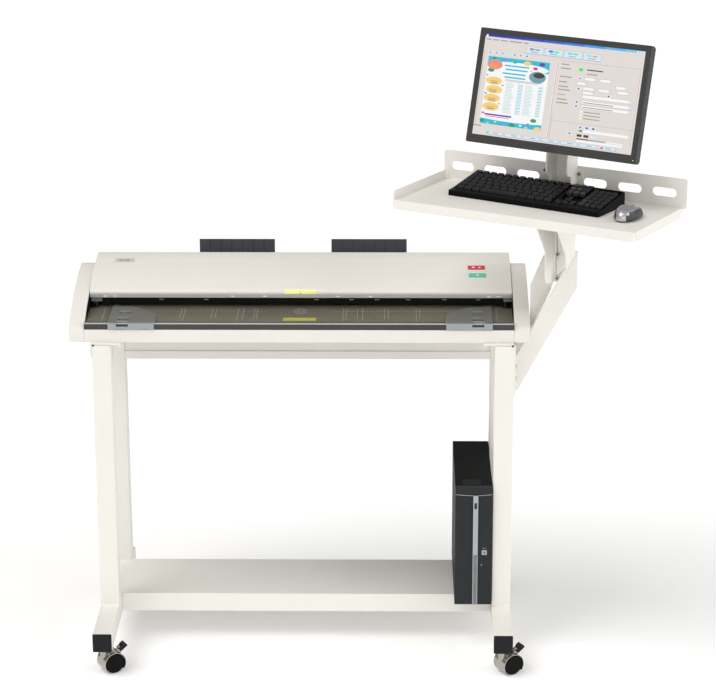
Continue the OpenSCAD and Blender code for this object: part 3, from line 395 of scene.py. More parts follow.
# ---------------------------------------------------------------- CAD parts
# material, edge radius, segments, angle limit in degrees, parts
ROUNDED = (
    ("powder_coat", 2.6, 3, 35, "left_side_frame right_side_frame"),
    ("powder_coat", 1.2, 2, 35, "rear_cross_rail lower_shelf"),
    ("powder_coat", 1.0, 2, 35, "top_brackets"),
    ("powder_coat", 0.9, 2, 35, "arm_bracket keyboard_tray"),
    ("powder_coat", 1.1, 2, 35, "mast monitor_post"),
    ("cap_black", 1.2, 2, 35, "foot_end_caps"),
    ("cap_black", 0.9, 2, 35, "brake_lever_l brake_lever_r"),
    ("zinc_bolt", 0.8, 2, 35, "frame_bolts"),
    ("zinc_bolt", 0.4, 1, 35, "caster_stems"),
    ("wheel_nylon", 0.5, 1, 40,
     "caster_wheels_fl caster_wheels_fr caster_wheels_rl caster_wheels_rr"),
    ("plate_steel", 0.4, 1, 35, "base_pan"),
    ("cover_textured", 2.2, 3, 40, "left_end_cap right_end_cap"),
    ("cover_textured", 0.5, 1, 35, "rear_cover"),
    ("table_dark", 0.3, 1, 35, "paper_table"),
    ("black_moulding", 0.5, 1, 35, "scan_head"),
    ("black_moulding", 0.4, 1, 35, "pressure_frame"),
    ("plate_steel_dark", 0.4, 1, 35, "side_plates"),
    ("motor_black", 1.5, 2, 35, "drive_motor"),
    ("solder_mask", 0.3, 1, 35, "main_board"),
    ("slate_plastic", 0.6, 2, 35, "left_return_guide right_return_guide"),
    ("guide_plastic", 0.7, 2, 35, "left_side_guide right_side_guide"),
    ("button_green", 0.8, 2, 35, "start_button"),
    ("button_red", 0.8, 2, 35, "stop_button"),
    ("monitor_back", 0.6, 1, 35, "tilt_head"),
    ("monitor_back", 2.4, 3, 35, "monitor_back_cover"),
    ("bezel_black", 1.4, 3, 35, "monitor_bezel"),
    ("keyboard_black", 1.4, 2, 35, "keyboard_body"),
    ("key_black", 1.0, 2, 35, "keyboard_keys"),
    ("pc_black", 1.0, 2, 35, "pc_case"),
    ("pc_front_graphite", 0.8, 2, 35, "pc_front"),
    ("pc_silver", 0.7, 2, 35, "pc_power_button"))
# material, split angle in degrees, parts
SPLIT = (
    ("chrome_hood", 30, "caster_hood_fl caster_hood_fr caster_hood_rl caster_hood_rr"),
    ("cover_textured", 40, "front_cover"),
    ("cover_textured", 32, "top_cover"),
    ("nose_anodised", 50, "nose_bar"),
    ("scan_glass_clear", 35, "scan_glass"),
    ("sintered_bronze", 35, "roller_bearings"),
    ("ground_rubber", 35,
     "front_feed_roller rear_feed_roller front_pinch_roller rear_pinch_roller"),
    ("turned_alloy", 35, "motor_pulley"),
    ("belt_rubber", 35, "drive_belt"),
    ("zinc_bolt", 35, "hinge_pins"),
    ("screen_bg", 35, "lcd_panel"))

def paint(name, material):
    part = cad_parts[name]
    part.data.materials.clear()
    part.data.materials.append(MATERIALS[material])
    for face in part.data.polygons:
        face.material_index = 0
        face.use_smooth = True
    return part

for material, radius, segments, angle, names in ROUNDED:
    for name in names.split():
        part = paint(name, material)
        part.modifiers.new("weld", "WELD").merge_threshold = 0.00001
        round_edges(part, radius, segments, angle)
for material, angle, names in SPLIT:
    for name in names.split():
        split_edges(paint(name, material), angle)
# the side guides are darker on top
for name in ("left_side_guide", "right_side_guide"):
    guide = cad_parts[name].data
    guide.materials.append(MATERIALS["guide_plastic_upper"])
    for face in guide.polygons:
        if face.normal.z > 0.5:
            face.material_index = 1


# ---------------------------------------------------------------- paper table
marks = Piece("table_marks", "table_line", "table_line_faint", "table_dark")

def strip(x0, y0, x1, y1, width, material="table_line"):
    """Thin line on the table between two places in plan."""
    run = Vector((x1 - x0, y1 - y0, table_z(y1) - table_z(y0)))
    place = plane((x0, y0, table_z(y0) + MARK_LIFT), run, Vector((0, 0, 1)).cross(run))
    marks.box((0, -width / 2, 0), (run.length, width / 2, 0.12), material, place)

SHEET_MARKS = (115.5, 123, 153, 167, 226, 236, 311, 320, 414, 470)   # from the centre
for side in (-1, 1):
    x = CENTRE_X + side * 526.5
    strip(x, -70, x, 44, 1.6)
    strip(x, 45, x, 60, 1.6)
    for i, offset in enumerate(SHEET_MARKS):
        x = CENTRE_X + side * offset
        strip(x, -46 if i % 3 else -60, x, 43, 1.5, "table_line" if i < 8 else "table_line_faint")
    strip(CENTRE_X + side * 120, -20, CENTRE_X + side * 414, -20, 1.2, "table_line_faint")
    strip(CENTRE_X + side * 90, 19, CENTRE_X + side * 414, 19, 1.6)
    for i in range(42):
        x = CENTRE_X + side * (98 + i * 7.6)
        strip(x, -48, x + side * 4.2, -48, 2.0, "table_line_faint")
for i in range(-5, 6):
    x = CENTRE_X + i * 24
    if i:
        strip(x, -66 if i % 5 else -70, x, -58, 1.3, "table_line_faint")
# two oval rings on the centre, each a light oval under a dark one
for radius, radius_y, height, material, sides in (
        (16, 22, 0.14, "table_line", 36), (14.2, 19.6, 0.20, "table_dark", 36),
        (9, 10, 0.26, "table_line", 30), (7.2, 7.6, 0.32, "table_dark", 30)):
    marks.disc((0, 0, 0), radius, height, material, on_table(19), sides, radius_y)
marks.finish("frame")

label = Piece("table_centre_label", "yellow_label_worn")
label.prism(round_rect(-44, -13, 44, 11, 4), 0.2, "yellow_label_worn", on_table(-46))
label.finish("frame")

# painted highlight: a bright line along the rounded front edge of the nose, outline as (y, z)
NOSE_HIGHLIGHT = [(-97.6, 923.4), (-96.6, 924.9), (-94.0, 925.45), (-90.5, 925.45), (-90.5, 925.1),
             (-95.0, 925.1), (-97.3, 923.3)]
nose = Piece("nose_painted_highlight_line", "nose_painted_highlight")
nose.prism(NOSE_HIGHLIGHT, 2 * (COVER_HALF - 1), "nose_painted_highlight", right_face(CENTRE_X - COVER_HALF + 1))
nose.finish("frame")

# black sheets at both ends of the table recess, painted shade for the dark recess interior,
# outline as (y, z), with blocks in the gap
RECESS_SHADE_OUTLINE = [(-26, 921), (-24, 926), (0, 941), (37, 958), (60, 962), (300, 962), (312, 921)]
shade_and_blocks = Piece("recess_shade_and_blocks", "black_moulding", "grey_block")
for recess_shade_x, (grey_x0, grey_x1), (black_x0, black_x1) in (
        (CENTRE_X - COVER_HALF + 0.2, (-576, -547), (-546.5, -523.6)),
        (CENTRE_X + COVER_HALF - 1.1, (535.5, 559), (510.6, 534.4))):
    shade_and_blocks.prism(RECESS_SHADE_OUTLINE, 0.9, "black_moulding", right_face(recess_shade_x))
    shade_and_blocks.box((grey_x0, 51, 943), (grey_x1, 57.5, 961), "grey_block")
    shade_and_blocks.box((black_x0, 51, 935), (black_x1, 59.6, 961), "black_moulding")
shade_and_blocks.finish("frame", 0.3, 1)

# ---------------------------------------------------------------- lid
# offsets from the centre
LID_ROLLERS = (-526.274, -500.325, -182.993, -95.957, 99.200, 187.048, 505.731, 531.140)
BEAM_MARKS = (-377.138, -256.088, 41.964, 136.114, 205.247, 288.637, 386.822, 477.744)
rollers = Piece("lid_underside_rollers", "bump_ivory", "grey_block")
for offset in LID_ROLLERS:
    rollers.disc((0, 0, 0), 2.6, 10, "bump_ivory",
                 right_face(CENTRE_X + offset - 5, 42.0, 960.0), 20)
rollers.finish("lid", smooth=True)

beam = Piece("beam_index_marks", "table_line", "black_moulding")
for offset in BEAM_MARKS:
    x = CENTRE_X + offset
    beam.box((x - 6, 0, 0), (x + 6, 2.2, 0.5), "table_line", front_face(0, 59.8, 945.4))
beam.box((-537, -1.2, 0), (537, 0.4, 1.0), "black_moulding", front_face(CENTRE_X, 59.8, 957))
beam.finish("lid")

# top of the lid in section, as (y, z)
LID_PROFILE = [(37, 973), (39, 975.5), (45, 979), (60, 985.5), (100, 1000), (150, 1013),
               (200, 1022.5), (226, 1025.2), (252, 1025.6)]

def on_lid(x, y):
    for (y0, z0), (y1, z1) in zip(LID_PROFILE, LID_PROFILE[1:]):
        if y0 <= y <= y1:
            z = z0 + (y - y0) / (y1 - y0) * (z1 - z0)
            return plane((x, y, z), (1, 0, 0), (0, y1 - y0, z1 - z0))

badge = Piece("cover_badge", "badge_cream", "badge_inlay")
badge_place = on_lid(-497, 188)
badge.prism(round_rect(-27, -12, 27, 12, 3), 0.7, "badge_cream", badge_place)
arc = [(19 * math.cos(math.radians(a)) - 1, 7.0 * math.sin(math.radians(a)) - 0.6)
       for a in range(20, 161, 10)]
badge.prism(arc + [(x * 0.97, y - 1.7) for x, y in reversed(arc)], 0.9, "badge_inlay",
            badge_place)
for i, width in enumerate((5.5, 3.5, 6.0, 4.0)):
    x = -14 + i * 7.2
    badge.prism(round_rect(x, -5.6, x + width, -2.0, 0.8), 0.9, "badge_inlay", badge_place)
badge.finish("lid", 0.15, 1)

# yellow label folded over the front edge, with a dark arrow on its face; the label glows faintly,
# which is painted light
label = Piece("cover_centre_label", "yellow_label", "badge_inlay")
face_place = front_face(CENTRE_X, 36.9, 966.2)
label.prism(round_rect(-43, 2.5, 43, 6.8, 1.0), 0.35, "yellow_label", face_place)
label.prism([(-3, 3.0), (3, 3.0), (0, 6.0)], 0.55, "badge_inlay", face_place)
label.prism(round_rect(-43, -2.2, 43, 3.2, 1.2), 0.35, "yellow_label", on_lid(CENTRE_X, 41))
label.finish("lid")

# ---------------------------------------------------------------- buttons
STOP_SHAPES = ([(-12, -3.4), (-12, 3.4), (-5, 3.4), (-5, -3.4)],
               [(4, -3.6), (13, -3.6), (8.5, 3.8)])
START_SHAPES = ([(-5.5, 0), (0, -4.6), (5.5, 0), (0, 4.6)],)

def on_button(centre, lift):
    return move(*centre) @ turn(BUTTON_TILT, "X") @ move(0, 0, lift)

for key, centre, shapes, slot in (("stop", STOP_CENTRE, STOP_SHAPES, "red_button"),
                                  ("start", START_CENTRE, START_SHAPES, "green_button")):
    symbol = Piece(key + "_symbol", "white_plastic")
    for shape in shapes:
        symbol.prism(shape, 0.18, "white_plastic", on_button(centre, 1.6))
    symbol.finish(key + "_key")

# two strips along the rear edge of each button: a raised lip, painted white as its highlight
lip_highlight = Piece("button_lip_highlights", "white_plastic")
for centre in (STOP_CENTRE, START_CENTRE):
    for y0, y1 in ((10.6, 14.2), (14.2, 15.0)):
        lip_highlight.box((-25.4, y0, -0.6), (25.4, y1, 1.1), "white_plastic", on_button(centre, 0.0))
lip_highlight.finish("lid", 0.4, 2)

# ---------------------------------------------------------------- bolt sockets and holes, painted shade
shade_marks = Piece("socket_and_hole_shade", "socket_painted_shade")

# dark hexagon: painted shade inside a bolt's socket
def hex_socket_shade(radius, place):
    corners = [math.radians(60 * i) for i in range(6)]
    shade_marks.prism([(radius * math.cos(a), radius * math.sin(a)) for a in corners], 0.35,
                  "socket_painted_shade", place)

for z in (772, 805, 845):
    hex_socket_shade(3.1, right_face(567.0, -87.6, z))
for z in (1039, 1105):
    hex_socket_shade(3.0, TRAY @ front_face(-2, 131.5, z))
for x in (-46, 53):
    hex_socket_shade(3.0, TRAY @ front_face(x, 134.5, 1327.5))
# painted shade: dark patches for the holes at the outer front corners of the top brackets
for x in (-557.5, 553.0):
    shade_marks.prism(round_rect(x, 866.0, x + 5.0, 871.5, 1.5), 0.35, "socket_painted_shade",
                  front_face(0, -113.0, 0))
shade_marks.finish("frame")

# ---------------------------------------------------------------- screen image
# A scan program window. Places are fractions of the screen from its top left corner,
# y down; a higher layer lies nearer the viewer.
screen = Piece("screen_image", *("screen_" + key for key in SCREEN_COLORS))
SCREEN = MONITOR @ front_face(0, 0.15, 0)
LAYER_STEP, LAYER_DEPTH = 0.02, 0.03

def on_screen(x, y):
    return -SCREEN_HALF_W + 2 * SCREEN_HALF_W * x, SCREEN_HALF_H - 2 * SCREEN_HALF_H * y

def rect(x0, y0, x1, y1, color, layer):
    z = LAYER_STEP * layer
    left, top = on_screen(x0, y0)
    right, bottom = on_screen(x1, y1)
    screen.box((left, bottom, z), (right, top, z + LAYER_DEPTH), "screen_" + color, SCREEN)

def oval(x, y, radius_x, radius_y, color, layer):
    screen.disc((*on_screen(x, y), LAYER_STEP * layer), 2 * SCREEN_HALF_W * radius_x,
                LAYER_DEPTH, "screen_" + color, SCREEN, 26, 2 * SCREEN_HALF_H * radius_y)

# title bar, menu and toolbars
rect(0, 0, 1, 1, "bg", 0)
for i in range(24):
    rect(i / 24, 0.0, (i + 1) / 24, 0.023, "blue_%d" % (i // 3), 1)
for i in range(3):
    rect(0.945 + i * 0.018, 0.004, 0.959 + i * 0.018, 0.024, "btn", 2)
rect(0.006, 0.004, 0.018, 0.024, "white", 2)
x = 0.01
for width in (0.03, 0.035, 0.045, 0.08, 0.03):
    rect(x, 0.045, x + width, 0.056, "grey", 2)
    x += width + 0.012
for i in range(4):
    x = 0.270 + i * 0.1195
    rect(x - 0.002, 0.078, x + 0.110, 0.150, "btnedge", 1)
    rect(x, 0.080, x + 0.108, 0.145, "btn", 2)
    oval(x + 0.035, 0.103, 0.016, 0.012, ("grey", "blue2", "blue3", "mint")[i], 3)
    rect(x + 0.055, 0.097, x + 0.085, 0.112, ("grey", "lime", "lime", "orange")[i], 3)
    rect(x + 0.03, 0.126, x + 0.075, 0.133, "grey", 3)
for i, color in enumerate(("grey", "grey", "grey", "mint", "red", "grey", "green")):
    x = 0.030 + i * 0.039
    rect(x, 0.163, x + 0.030, 0.192, "btn", 2)
    rect(x + 0.009, 0.170, x + 0.021, 0.184, color, 3)

# edges of the left preview pane
rect(0.006, 0.165, 0.0085, 0.905, "edge", 1)
rect(0.47, 0.20, 0.4725, 0.945, "white", 1)
rect(0.475, 0.20, 0.478, 0.945, "edge", 1)

# scanned sheet in the preview; places are fractions of the sheet
SHEET_X, SHEET_Y, SHEET_W, SHEET_H = 0.038, 0.215, 0.392, 0.670

def sheet_rect(x0, y0, x1, y1, color, layer):
    rect(SHEET_X + SHEET_W * x0, SHEET_Y + SHEET_H * y0,
         SHEET_X + SHEET_W * x1, SHEET_Y + SHEET_H * y1, color, layer)

def sheet_oval(x, y, radius_x, radius_y, color, layer):
    oval(SHEET_X + SHEET_W * x, SHEET_Y + SHEET_H * y, radius_x * SHEET_W, radius_y * SHEET_H,
         color, layer)

# x, y, size, colour
DOTS = (
    (0.10, 0.02, 0.03, "green"), (0.28, 0.03, 0.022, "pink"), (0.44, 0.055, 0.024, "green"),
    (0.64, 0.05, 0.055, "sand"), (0.88, 0.04, 0.042, "violet"), (0.78, 0.11, 0.036, "pink"),
    (0.93, 0.13, 0.02, "white"), (0.07, 0.20, 0.048, "green"), (0.72, 0.155, 0.02, "sand"),
    (0.02, 0.28, 0.014, "violet"), (0.29, 0.41, 0.016, "pink"), (0.03, 0.55, 0.018, "green"),
    (0.27, 0.685, 0.014, "green"), (0.03, 0.84, 0.022, "pink"), (0.03, 0.955, 0.034, "green"),
    (0.25, 0.955, 0.02, "sand"), (0.35, 0.985, 0.018, "pink"), (0.52, 0.975, 0.045, "green"),
    (0.78, 0.93, 0.02, "pink"), (0.86, 0.87, 0.045, "green"), (0.94, 0.985, 0.05, "sand"),
    (0.76, 0.985, 0.024, "mint"), (0.66, 0.965, 0.02, "white"), (0.13, 0.985, 0.02, "mint"))
sheet_rect(0, 0, 1, 1, "white", 2)
sheet_rect(0, 0, 1, 0.10, "cyan", 3)
sheet_rect(0, 0.92, 1, 1, "cyan", 3)
sheet_oval(0.5, 0.125, 0.498, 0.070, "white", 4)
sheet_oval(0.5, 0.905, 0.498, 0.032, "white", 4)
sheet_rect(0.93, 0.08, 1.0, 0.17, "cyan", 3)
for x, y, size, color in DOTS:
    sheet_oval(x, y, size * 1.1, size * 0.62, color, 5)
sheet_oval(0.12, 0.115, 0.125, 0.072, "salmon", 6)
sheet_oval(0.10, 0.135, 0.075, 0.035, "orange", 7)
sheet_oval(0.83, 0.235, 0.135, 0.085, "teal", 6)
sheet_oval(0.85, 0.205, 0.09, 0.04, "dark", 7)
for x, y, width in ((0.28, 0.10, 0.40), (0.30, 0.155, 0.36), (0.26, 0.215, 0.38),
                    (0.30, 0.27, 0.34)):
    sheet_rect(x, y, x + width, y + 0.022, "cyan", 6)
for i in range(4):
    y = 0.128 * i
    sheet_oval(0.16 if i == 1 else 0.14, 0.355 + y, 0.135, 0.060, "sand", 6)
    sheet_rect(0.07, 0.350 + y, 0.21, 0.365 + y, "orange", 7)
    sheet_rect(0.09, 0.378 + y, 0.20, 0.390 + y, "green", 7)
sheet_rect(0.32, 0.315, 0.90, 0.322, "grey", 4)
sheet_rect(0.32, 0.332, 0.86, 0.339, "grey", 4)
for i in range(22):
    y = 0.365 + i * 0.0205
    for x, short_x0, short_x1 in ((0.34, 0.54, 0.62), (0.66, 0.87, 0.94)):
        sheet_rect(x, y, x + 0.10 + 0.05 * rng.random(), y + 0.008, "mint", 4)
        sheet_rect(short_x0, y, short_x1, y + 0.009, "cyan" if i % 2 else "mint", 4)
sheet_rect(0.06, 0.845, 0.50, 0.868, "violet", 6)
sheet_rect(0.08, 0.880, 0.46, 0.890, "pink", 6)

# right settings pane: edges, captions, fields, small buttons
rect(0.485, 0.175, 0.99, 0.178, "edge", 1)
rect(0.985, 0.175, 0.9875, 0.93, "edge", 1)
rect(0.99, 0.175, 0.992, 0.93, "white", 1)
for i, y in enumerate((0.205, 0.245, 0.325, 0.375, 0.42, 0.452, 0.50, 0.545, 0.58)):
    rect(0.50, y, 0.55 + 0.012 * (i % 3), y + 0.011, "grey" if i != 6 else "edge", 2)
oval(0.625, 0.245, 0.014, 0.017, "lime", 3)
rect(0.662, 0.235, 0.76, 0.246, "dark", 2)
rect(0.662, 0.275, 0.73, 0.285, "grey", 2)
for x0, x1, y in ((0.655, 0.715, 0.315), (0.75, 0.81, 0.315), (0.612, 0.66, 0.365),
                  (0.85, 0.905, 0.365), (0.655, 0.715, 0.41), (0.75, 0.81, 0.41),
                  (0.865, 0.925, 0.41), (0.655, 0.71, 0.45)):
    rect(x0 - 0.002, y - 0.003, x1 + 0.014, y + 0.030, "edge", 2)
    rect(x0, y, x1, y + 0.027, "white", 3)
    rect(x1, y, x1 + 0.012, y + 0.027, "btn", 3)
for x, y, color in ((0.612, 0.315, "red"), (0.612, 0.415, "dark"), (0.80, 0.455, "dark"),
                    (0.612, 0.545, "dark"), (0.612, 0.585, "dark"), (0.595, 0.855, "dark")):
    rect(x, y, x + 0.028, y + 0.032, "btn", 3)
    rect(x + 0.009, y + 0.009, x + 0.019, y + 0.022, color, 4)
for y in (0.485, 0.540, 0.585):
    rect(0.655, y - 0.003, 0.965, y + 0.034, "edge", 2)
    rect(0.657, y, 0.945, y + 0.031, "white", 3)
    rect(0.947, y, 0.963, y + 0.031, "btn", 3)
for y in (0.547, 0.592):
    rect(0.665, y + 0.007, 0.85, y + 0.016, "grey", 4)
for y in (0.640, 0.672, 0.704):
    rect(0.655, y, 0.668, y + 0.018, "white", 3)
    rect(0.678, y + 0.004, 0.78, y + 0.013, "grey", 3)
rect(0.485, 0.765, 0.985, 0.768, "edge", 2)
rect(0.485, 0.70, 0.4875, 0.935, "edge", 2)
for i, color in enumerate(("pink", "dark", "dark")):
    rect(0.655 + i * 0.04, 0.785, 0.685 + i * 0.04, 0.815, "btn", 3)
    rect(0.663 + i * 0.04, 0.792, 0.677 + i * 0.04, 0.808, color, 4)
rect(0.660, 0.825, 0.672, 0.842, "lime", 3)
rect(0.672, 0.825, 0.684, 0.842, "violet", 3)
rect(0.69, 0.822, 0.965, 0.848, "white", 3)
for i in range(3):
    rect(0.655 + i * 0.042, 0.868, 0.685 + i * 0.042, 0.892, "dark" if i < 2 else "btn", 3)
for i in range(30):
    rect(0.655 + i * 0.0095, 0.908, 0.655 + (i + 1) * 0.0095, 0.918,
         "dark" if i < 8 else ("grey" if i < 19 else "white"), 3)
rect(0.655, 0.925, 0.94, 0.945, "white", 3)

# bottom button row
for i in range(7):
    x = 0.091 + i * 0.118
    rect(x - 0.002, 0.953, x + 0.106, 0.988, "btnedge", 1)
    rect(x, 0.955, x + 0.103, 0.984, "btn", 2)
    rect(x + 0.04, 0.966, x + 0.075, 0.973, "grey", 3)
oval(0.10, 0.969, 0.008, 0.010, "lime", 4)
rect(0.81, 0.962, 0.825, 0.978, "red", 4)
rect(0.0, 0.905, 0.05, 0.915, "grey", 2)
rect(0.30, 0.990, 0.46, 1.0, "panel", 2)
screen.finish("monitor")

# ---------------------------------------------------------------- monitor
BEZEL = MONITOR @ front_face(0, -2.0, 0)
buttons = Piece("monitor_buttons", "monitor_back", "led_green", "bezel_black")
x = SCREEN_HALF_W
for i in range(5):
    z = -84 - i * 13.5
    buttons.prism(round_rect(x + 3.6, z - 4.6, x + 12.4, z + 4.6, 1.6), 0.7, "monitor_back",
                  BEZEL)
    buttons.prism(round_rect(x + 4.4, z - 3.8, x + 11.6, z + 3.8, 1.4), 0.95, "bezel_black",
                  BEZEL)
buttons.disc((x + 8, -143, 0), 1.3, 0.9, "led_green", BEZEL, 16)
buttons.prism(round_rect(-16, -146, 16, -138, 2), 0.35, "monitor_back", BEZEL)
buttons.finish("monitor", 0.12, 1)

# mounting screws and sockets on the rear
rear = Piece("monitor_rear_details", "zinc_bolt", "pc_recess", "monitor_back")
for x in (37.5, -37.5):
    for z in (-37.5, 37.5):
        rear.disc((x, z, 0), 4.6, 2.0, "zinc_bolt", MONITOR @ rear_face(0, 53.2, 0), 20)
for i in range(4):
    rear.box((-150 + i * 26, -99, -0.4), (-132 + i * 26, -93, 0.6), "pc_recess",
             MONITOR @ rear_face(0, 36, 0))
rear.finish("monitor", 0.2, 1)

# ---------------------------------------------------------------- keyboard
# three lamps and two raised blocks at the rear edge
keyboard = Piece("keyboard_details", "led_green", "keyboard_black", "key_black")
for i in range(3):
    keyboard.disc((154 + i * 16, 63, 0), 1.5, 0.5, "led_green",
                  KEYBOARD @ move(0, -2.2, 29.9), 14)
for x in (-200, 178):
    keyboard.box((x, 66.6, 36.8), (x + 22, 70, 38.3), "keyboard_black", KEYBOARD)
keyboard.finish("frame", 0.3, 1)

# ---------------------------------------------------------------- mouse
MOUSE_SIDES, MOUSE_RINGS = 28, 12
MOUSE_HALF_LENGTH, MOUSE_BASE, MOUSE_HEIGHT, MOUSE_LEAN = 58.5, 1.0, 35.0, -6.0

def mouse_ring(mesh, t):
    """One ring of the shell; t runs from 0 at the base to 1 at the crown."""
    shrink = math.cos(t * math.pi / 2) ** 0.62
    lift = math.sin(t * math.pi / 2) ** 0.80
    ring = []
    for i in range(MOUSE_SIDES):
        a = 2 * math.pi * i / MOUSE_SIDES
        x, y = math.cos(a), math.sin(a)
        # narrower to the rear and waisted in the middle; lower at both ends
        half_width = 34.5 - 1.36 * (1 - y) - 1.6 * math.exp(-(y / 0.35) ** 2)
        height = MOUSE_HEIGHT - 9.0 * max(0, y) - 3 * max(0, -y)
        point = Vector((x * half_width * shrink,
                        y * MOUSE_HALF_LENGTH * shrink + MOUSE_LEAN * t,
                        MOUSE_BASE + height * lift))
        ring.append(mesh.verts.new((MOUSE @ point) * MM))
    return ring

def mouse_shell():
    mesh = bmesh.new()
    rings = [mouse_ring(mesh, j / MOUSE_RINGS) for j in range(MOUSE_RINGS)]
    crown = Vector((0, MOUSE_LEAN, MOUSE_BASE + MOUSE_HEIGHT))
    cap = mesh.verts.new((MOUSE @ crown) * MM)
    for low, high in zip(rings, rings[1:]):
        for i in range(MOUSE_SIDES):
            j = (i + 1) % MOUSE_SIDES
            mesh.faces.new((low[i], low[j], high[j], high[i]))
    for i in range(MOUSE_SIDES):
        mesh.faces.new((rings[-1][i], rings[-1][(i + 1) % MOUSE_SIDES], cap))
    mesh.faces.new(rings[0][::-1])
    bmesh.ops.recalc_face_normals(mesh, faces=mesh.faces)
    data = bpy.data.meshes.new("mouse_shell")
    mesh.to_mesh(data)
    mesh.free()
    for name in ("mouse_silver", "mouse_side"):
        data.materials.append(MATERIALS[name])
    to_mouse = MOUSE.inverted()
    for face in data.polygons:
        centre = to_mouse @ (face.center / MM)
        on_side = abs(centre.x) > 20 + 6 * (centre.y / 58) and centre.z < 27
        face.material_index = 1 if on_side or centre.z < 3 else 0
        face.use_smooth = True
    shell = link_object("mouse_shell", data)
    smooth = shell.modifiers.new("sub", "SUBSURF")
    smooth.levels = smooth.render_levels = 2
    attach(shell, "frame")
    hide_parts("mouse")

mouse_shell()
wheel = Piece("mouse_wheel", "mouse_side")
wheel.disc((0, 0, 0), 8.5, 6.0, "mouse_side", MOUSE @ right_face(-3.0, 28, 18.6), 26)
wheel.finish("frame", 0.6, 2)

# ---------------------------------------------------------------- computer
trim = Piece("pc_front_trim", "pc_silver", "pc_recess", "pc_front_graphite", "led_green")
PC_FRONT = front_face(PC_X, PC_Y, PC_Z)
PC_PANEL = PC_FRONT @ move(0, 0, -3.0)      # set back from the front
# upright silver strip with a dark slot and a row of dark bars
trim.prism(round_rect(-1.7, 4.4, 11.7, 321, 1.6), 0.9, "pc_silver", PC_FRONT)
trim.prism(round_rect(1.6, 283, 8.4, 300, 1.8), 1.25, "pc_recess", PC_FRONT)
for i in range(46):
    trim.box((0.4, 8 + i * 3.1, 0), (9.8, 9.6 + i * 3.1, 1.15), "pc_recess", PC_FRONT)
# optical drive door, its outline and the lower panel outline
trim.prism(round_rect(-31, 163, -7.6, 316, 1.2), 0.9, "pc_front_graphite", PC_PANEL)
for x0, z0, x1, z1 in ((-32.8, 161, -31.2, 317), (-7.6, 161, -6.4, 317),
                       (-32.8, 160.4, -6.6, 162.2), (-48, 160.6, -32.2, 162.0)):
    trim.box((x0, z0, 0), (x1, z1, 0.35), "pc_recess", PC_PANEL)
# bowed bright line over the panel
bow = [(-49.4 + i * 98.8 / 20, 322.5 - 3.2 * (1 - ((i - 10) / 10) ** 2)) for i in range(21)]
trim.prism(bow + [(x, z + 1.3) for x, z in reversed(bow)], 1.0, "pc_silver", PC_PANEL)
trim.disc((22.0, 120, 0), 1.0, 0.5, "pc_silver", PC_PANEL, 14, 3.0)
trim.prism(round_rect(24.5, 168, 34.5, 169.1, 0.4), 0.4, "pc_silver", PC_PANEL)
trim.finish("frame", 0.12, 1)

vents = Piece("pc_top_vents", "pc_recess", "pc_black")
PC_TOP = move(PC_X, PC_Y, PC_Z + PC_HEIGHT)
for i in range(16):
    vents.box((-30 + 3.1 * i, 22, -0.15), (-28.4 + 3.1 * i, 62, 0.35), "pc_recess", PC_TOP)
vents.box((-50, 15, -0.2), (50, 16.2, 0.3), "pc_recess", PC_TOP)
vents.finish("frame")

panel = Piece("pc_rear_panel", "plate_steel", "pc_recess", "pc_silver")
# x0, z0, x1, z1, corner radius, depth of each dark socket
REAR_SOCKETS = [(x, z, x + 16, z + 9, 1, 1.5) for z in (30, 46, 62, 78) for x in (-34, -12)]
REAR_SOCKETS += [(14, 26, 38, 60, 1.5, 2.2), (-36, 110, 36, 122, 1.5, 1.8),
                 (-36, 134, 36, 146, 1.5, 1.8)]
PC_REAR = rear_face(PC_X, PC_Y + PC_DEPTH, PC_Z)
panel.prism(round_rect(-44, 12, 44, 190, 2), 0.8, "plate_steel", PC_REAR)
for *outline, depth in REAR_SOCKETS:
    panel.prism(round_rect(*outline), depth, "pc_recess", PC_REAR)
panel.finish("frame", 0.3, 1)

icon = Piece("pc_power_icon", "pc_recess")
icon.disc((29.5, 156, 0), 2.4, 0.25, "pc_recess", front_face(PC_X, PC_Y + 1.8, PC_Z), 18)
icon.finish("power_key")

# ---------------------------------------------------------------- main board
board = Piece("board_parts", "pc_recess", "contact_gold", "turned_alloy")
BOARD = move(CENTRE_X, 0, 881.6)
for i in range(6):
    board.box((-438 + i * 30, 250, 0), (-420 + i * 30, 264, 1.6), "pc_recess", BOARD)
for i in range(18):
    board.box((-280 + i * 2.2, 318, 0), (-279 + i * 2.2, 330, 1.0), "contact_gold", BOARD)
board.finish("frame", 0.2, 1)

# ---------------------------------------------------------------- casters
# name, side in x, side in y, swivel in degrees
for name, side_x, side_y, swivel in (("fl", -1, -1, 31), ("fr", 1, -1, 31), ("rl", -1, 1, 31),
                                     ("rr", 1, 1, 149)):
    axle = move(side_x * 533.6, side_y * 270, 0) @ turn(swivel, "Z") @ move(20, 0, 27.5)
    hub = Piece("wheel_hub_" + name, "wheel_nylon", "wheel_tread")
    for side in (-1, 1):
        # local z points outwards from the wheel, mirrored on one side
        face = axle @ Matrix(((1, 0, 0, 0), (0, 0, side, side * 25.3), (0, 1, 0, 0),
                              (0, 0, 0, 1)))
        hub.disc((0, 0, -0.2), 24.6, 0.9, "wheel_nylon", face, 44)
        hub.disc((0, 0, 0.4), 6.0, 0.8, "wheel_nylon", face, 30)
    hub.finish("wheels_" + name, 0.25, 2)

# ---------------------------------------------------------------- floor (metres)
floor_mesh = bpy.data.meshes.new("floor")
floor_mesh.from_pydata([(-40, -30, 0), (40, -30, 0), (40, 60, 0), (-40, 60, 0)], [],
                       [(0, 1, 2, 3)])
floor = link_object("floor", floor_mesh)
paper = Shader("floor_paper")
paper.drive(paper.ramp(paper.noise(scale=3), low=(0.955, 0.955, 0.955, 1),
                       high=(0.965, 0.965, 0.965, 1)), "Base Color")
paper.set({"Roughness": 0.9, "Specular IOR Level": 0.1, "Emission Color": (1, 1, 1, 1),
           "Emission Strength": 0.15})
floor_mesh.materials.append(paper.material)

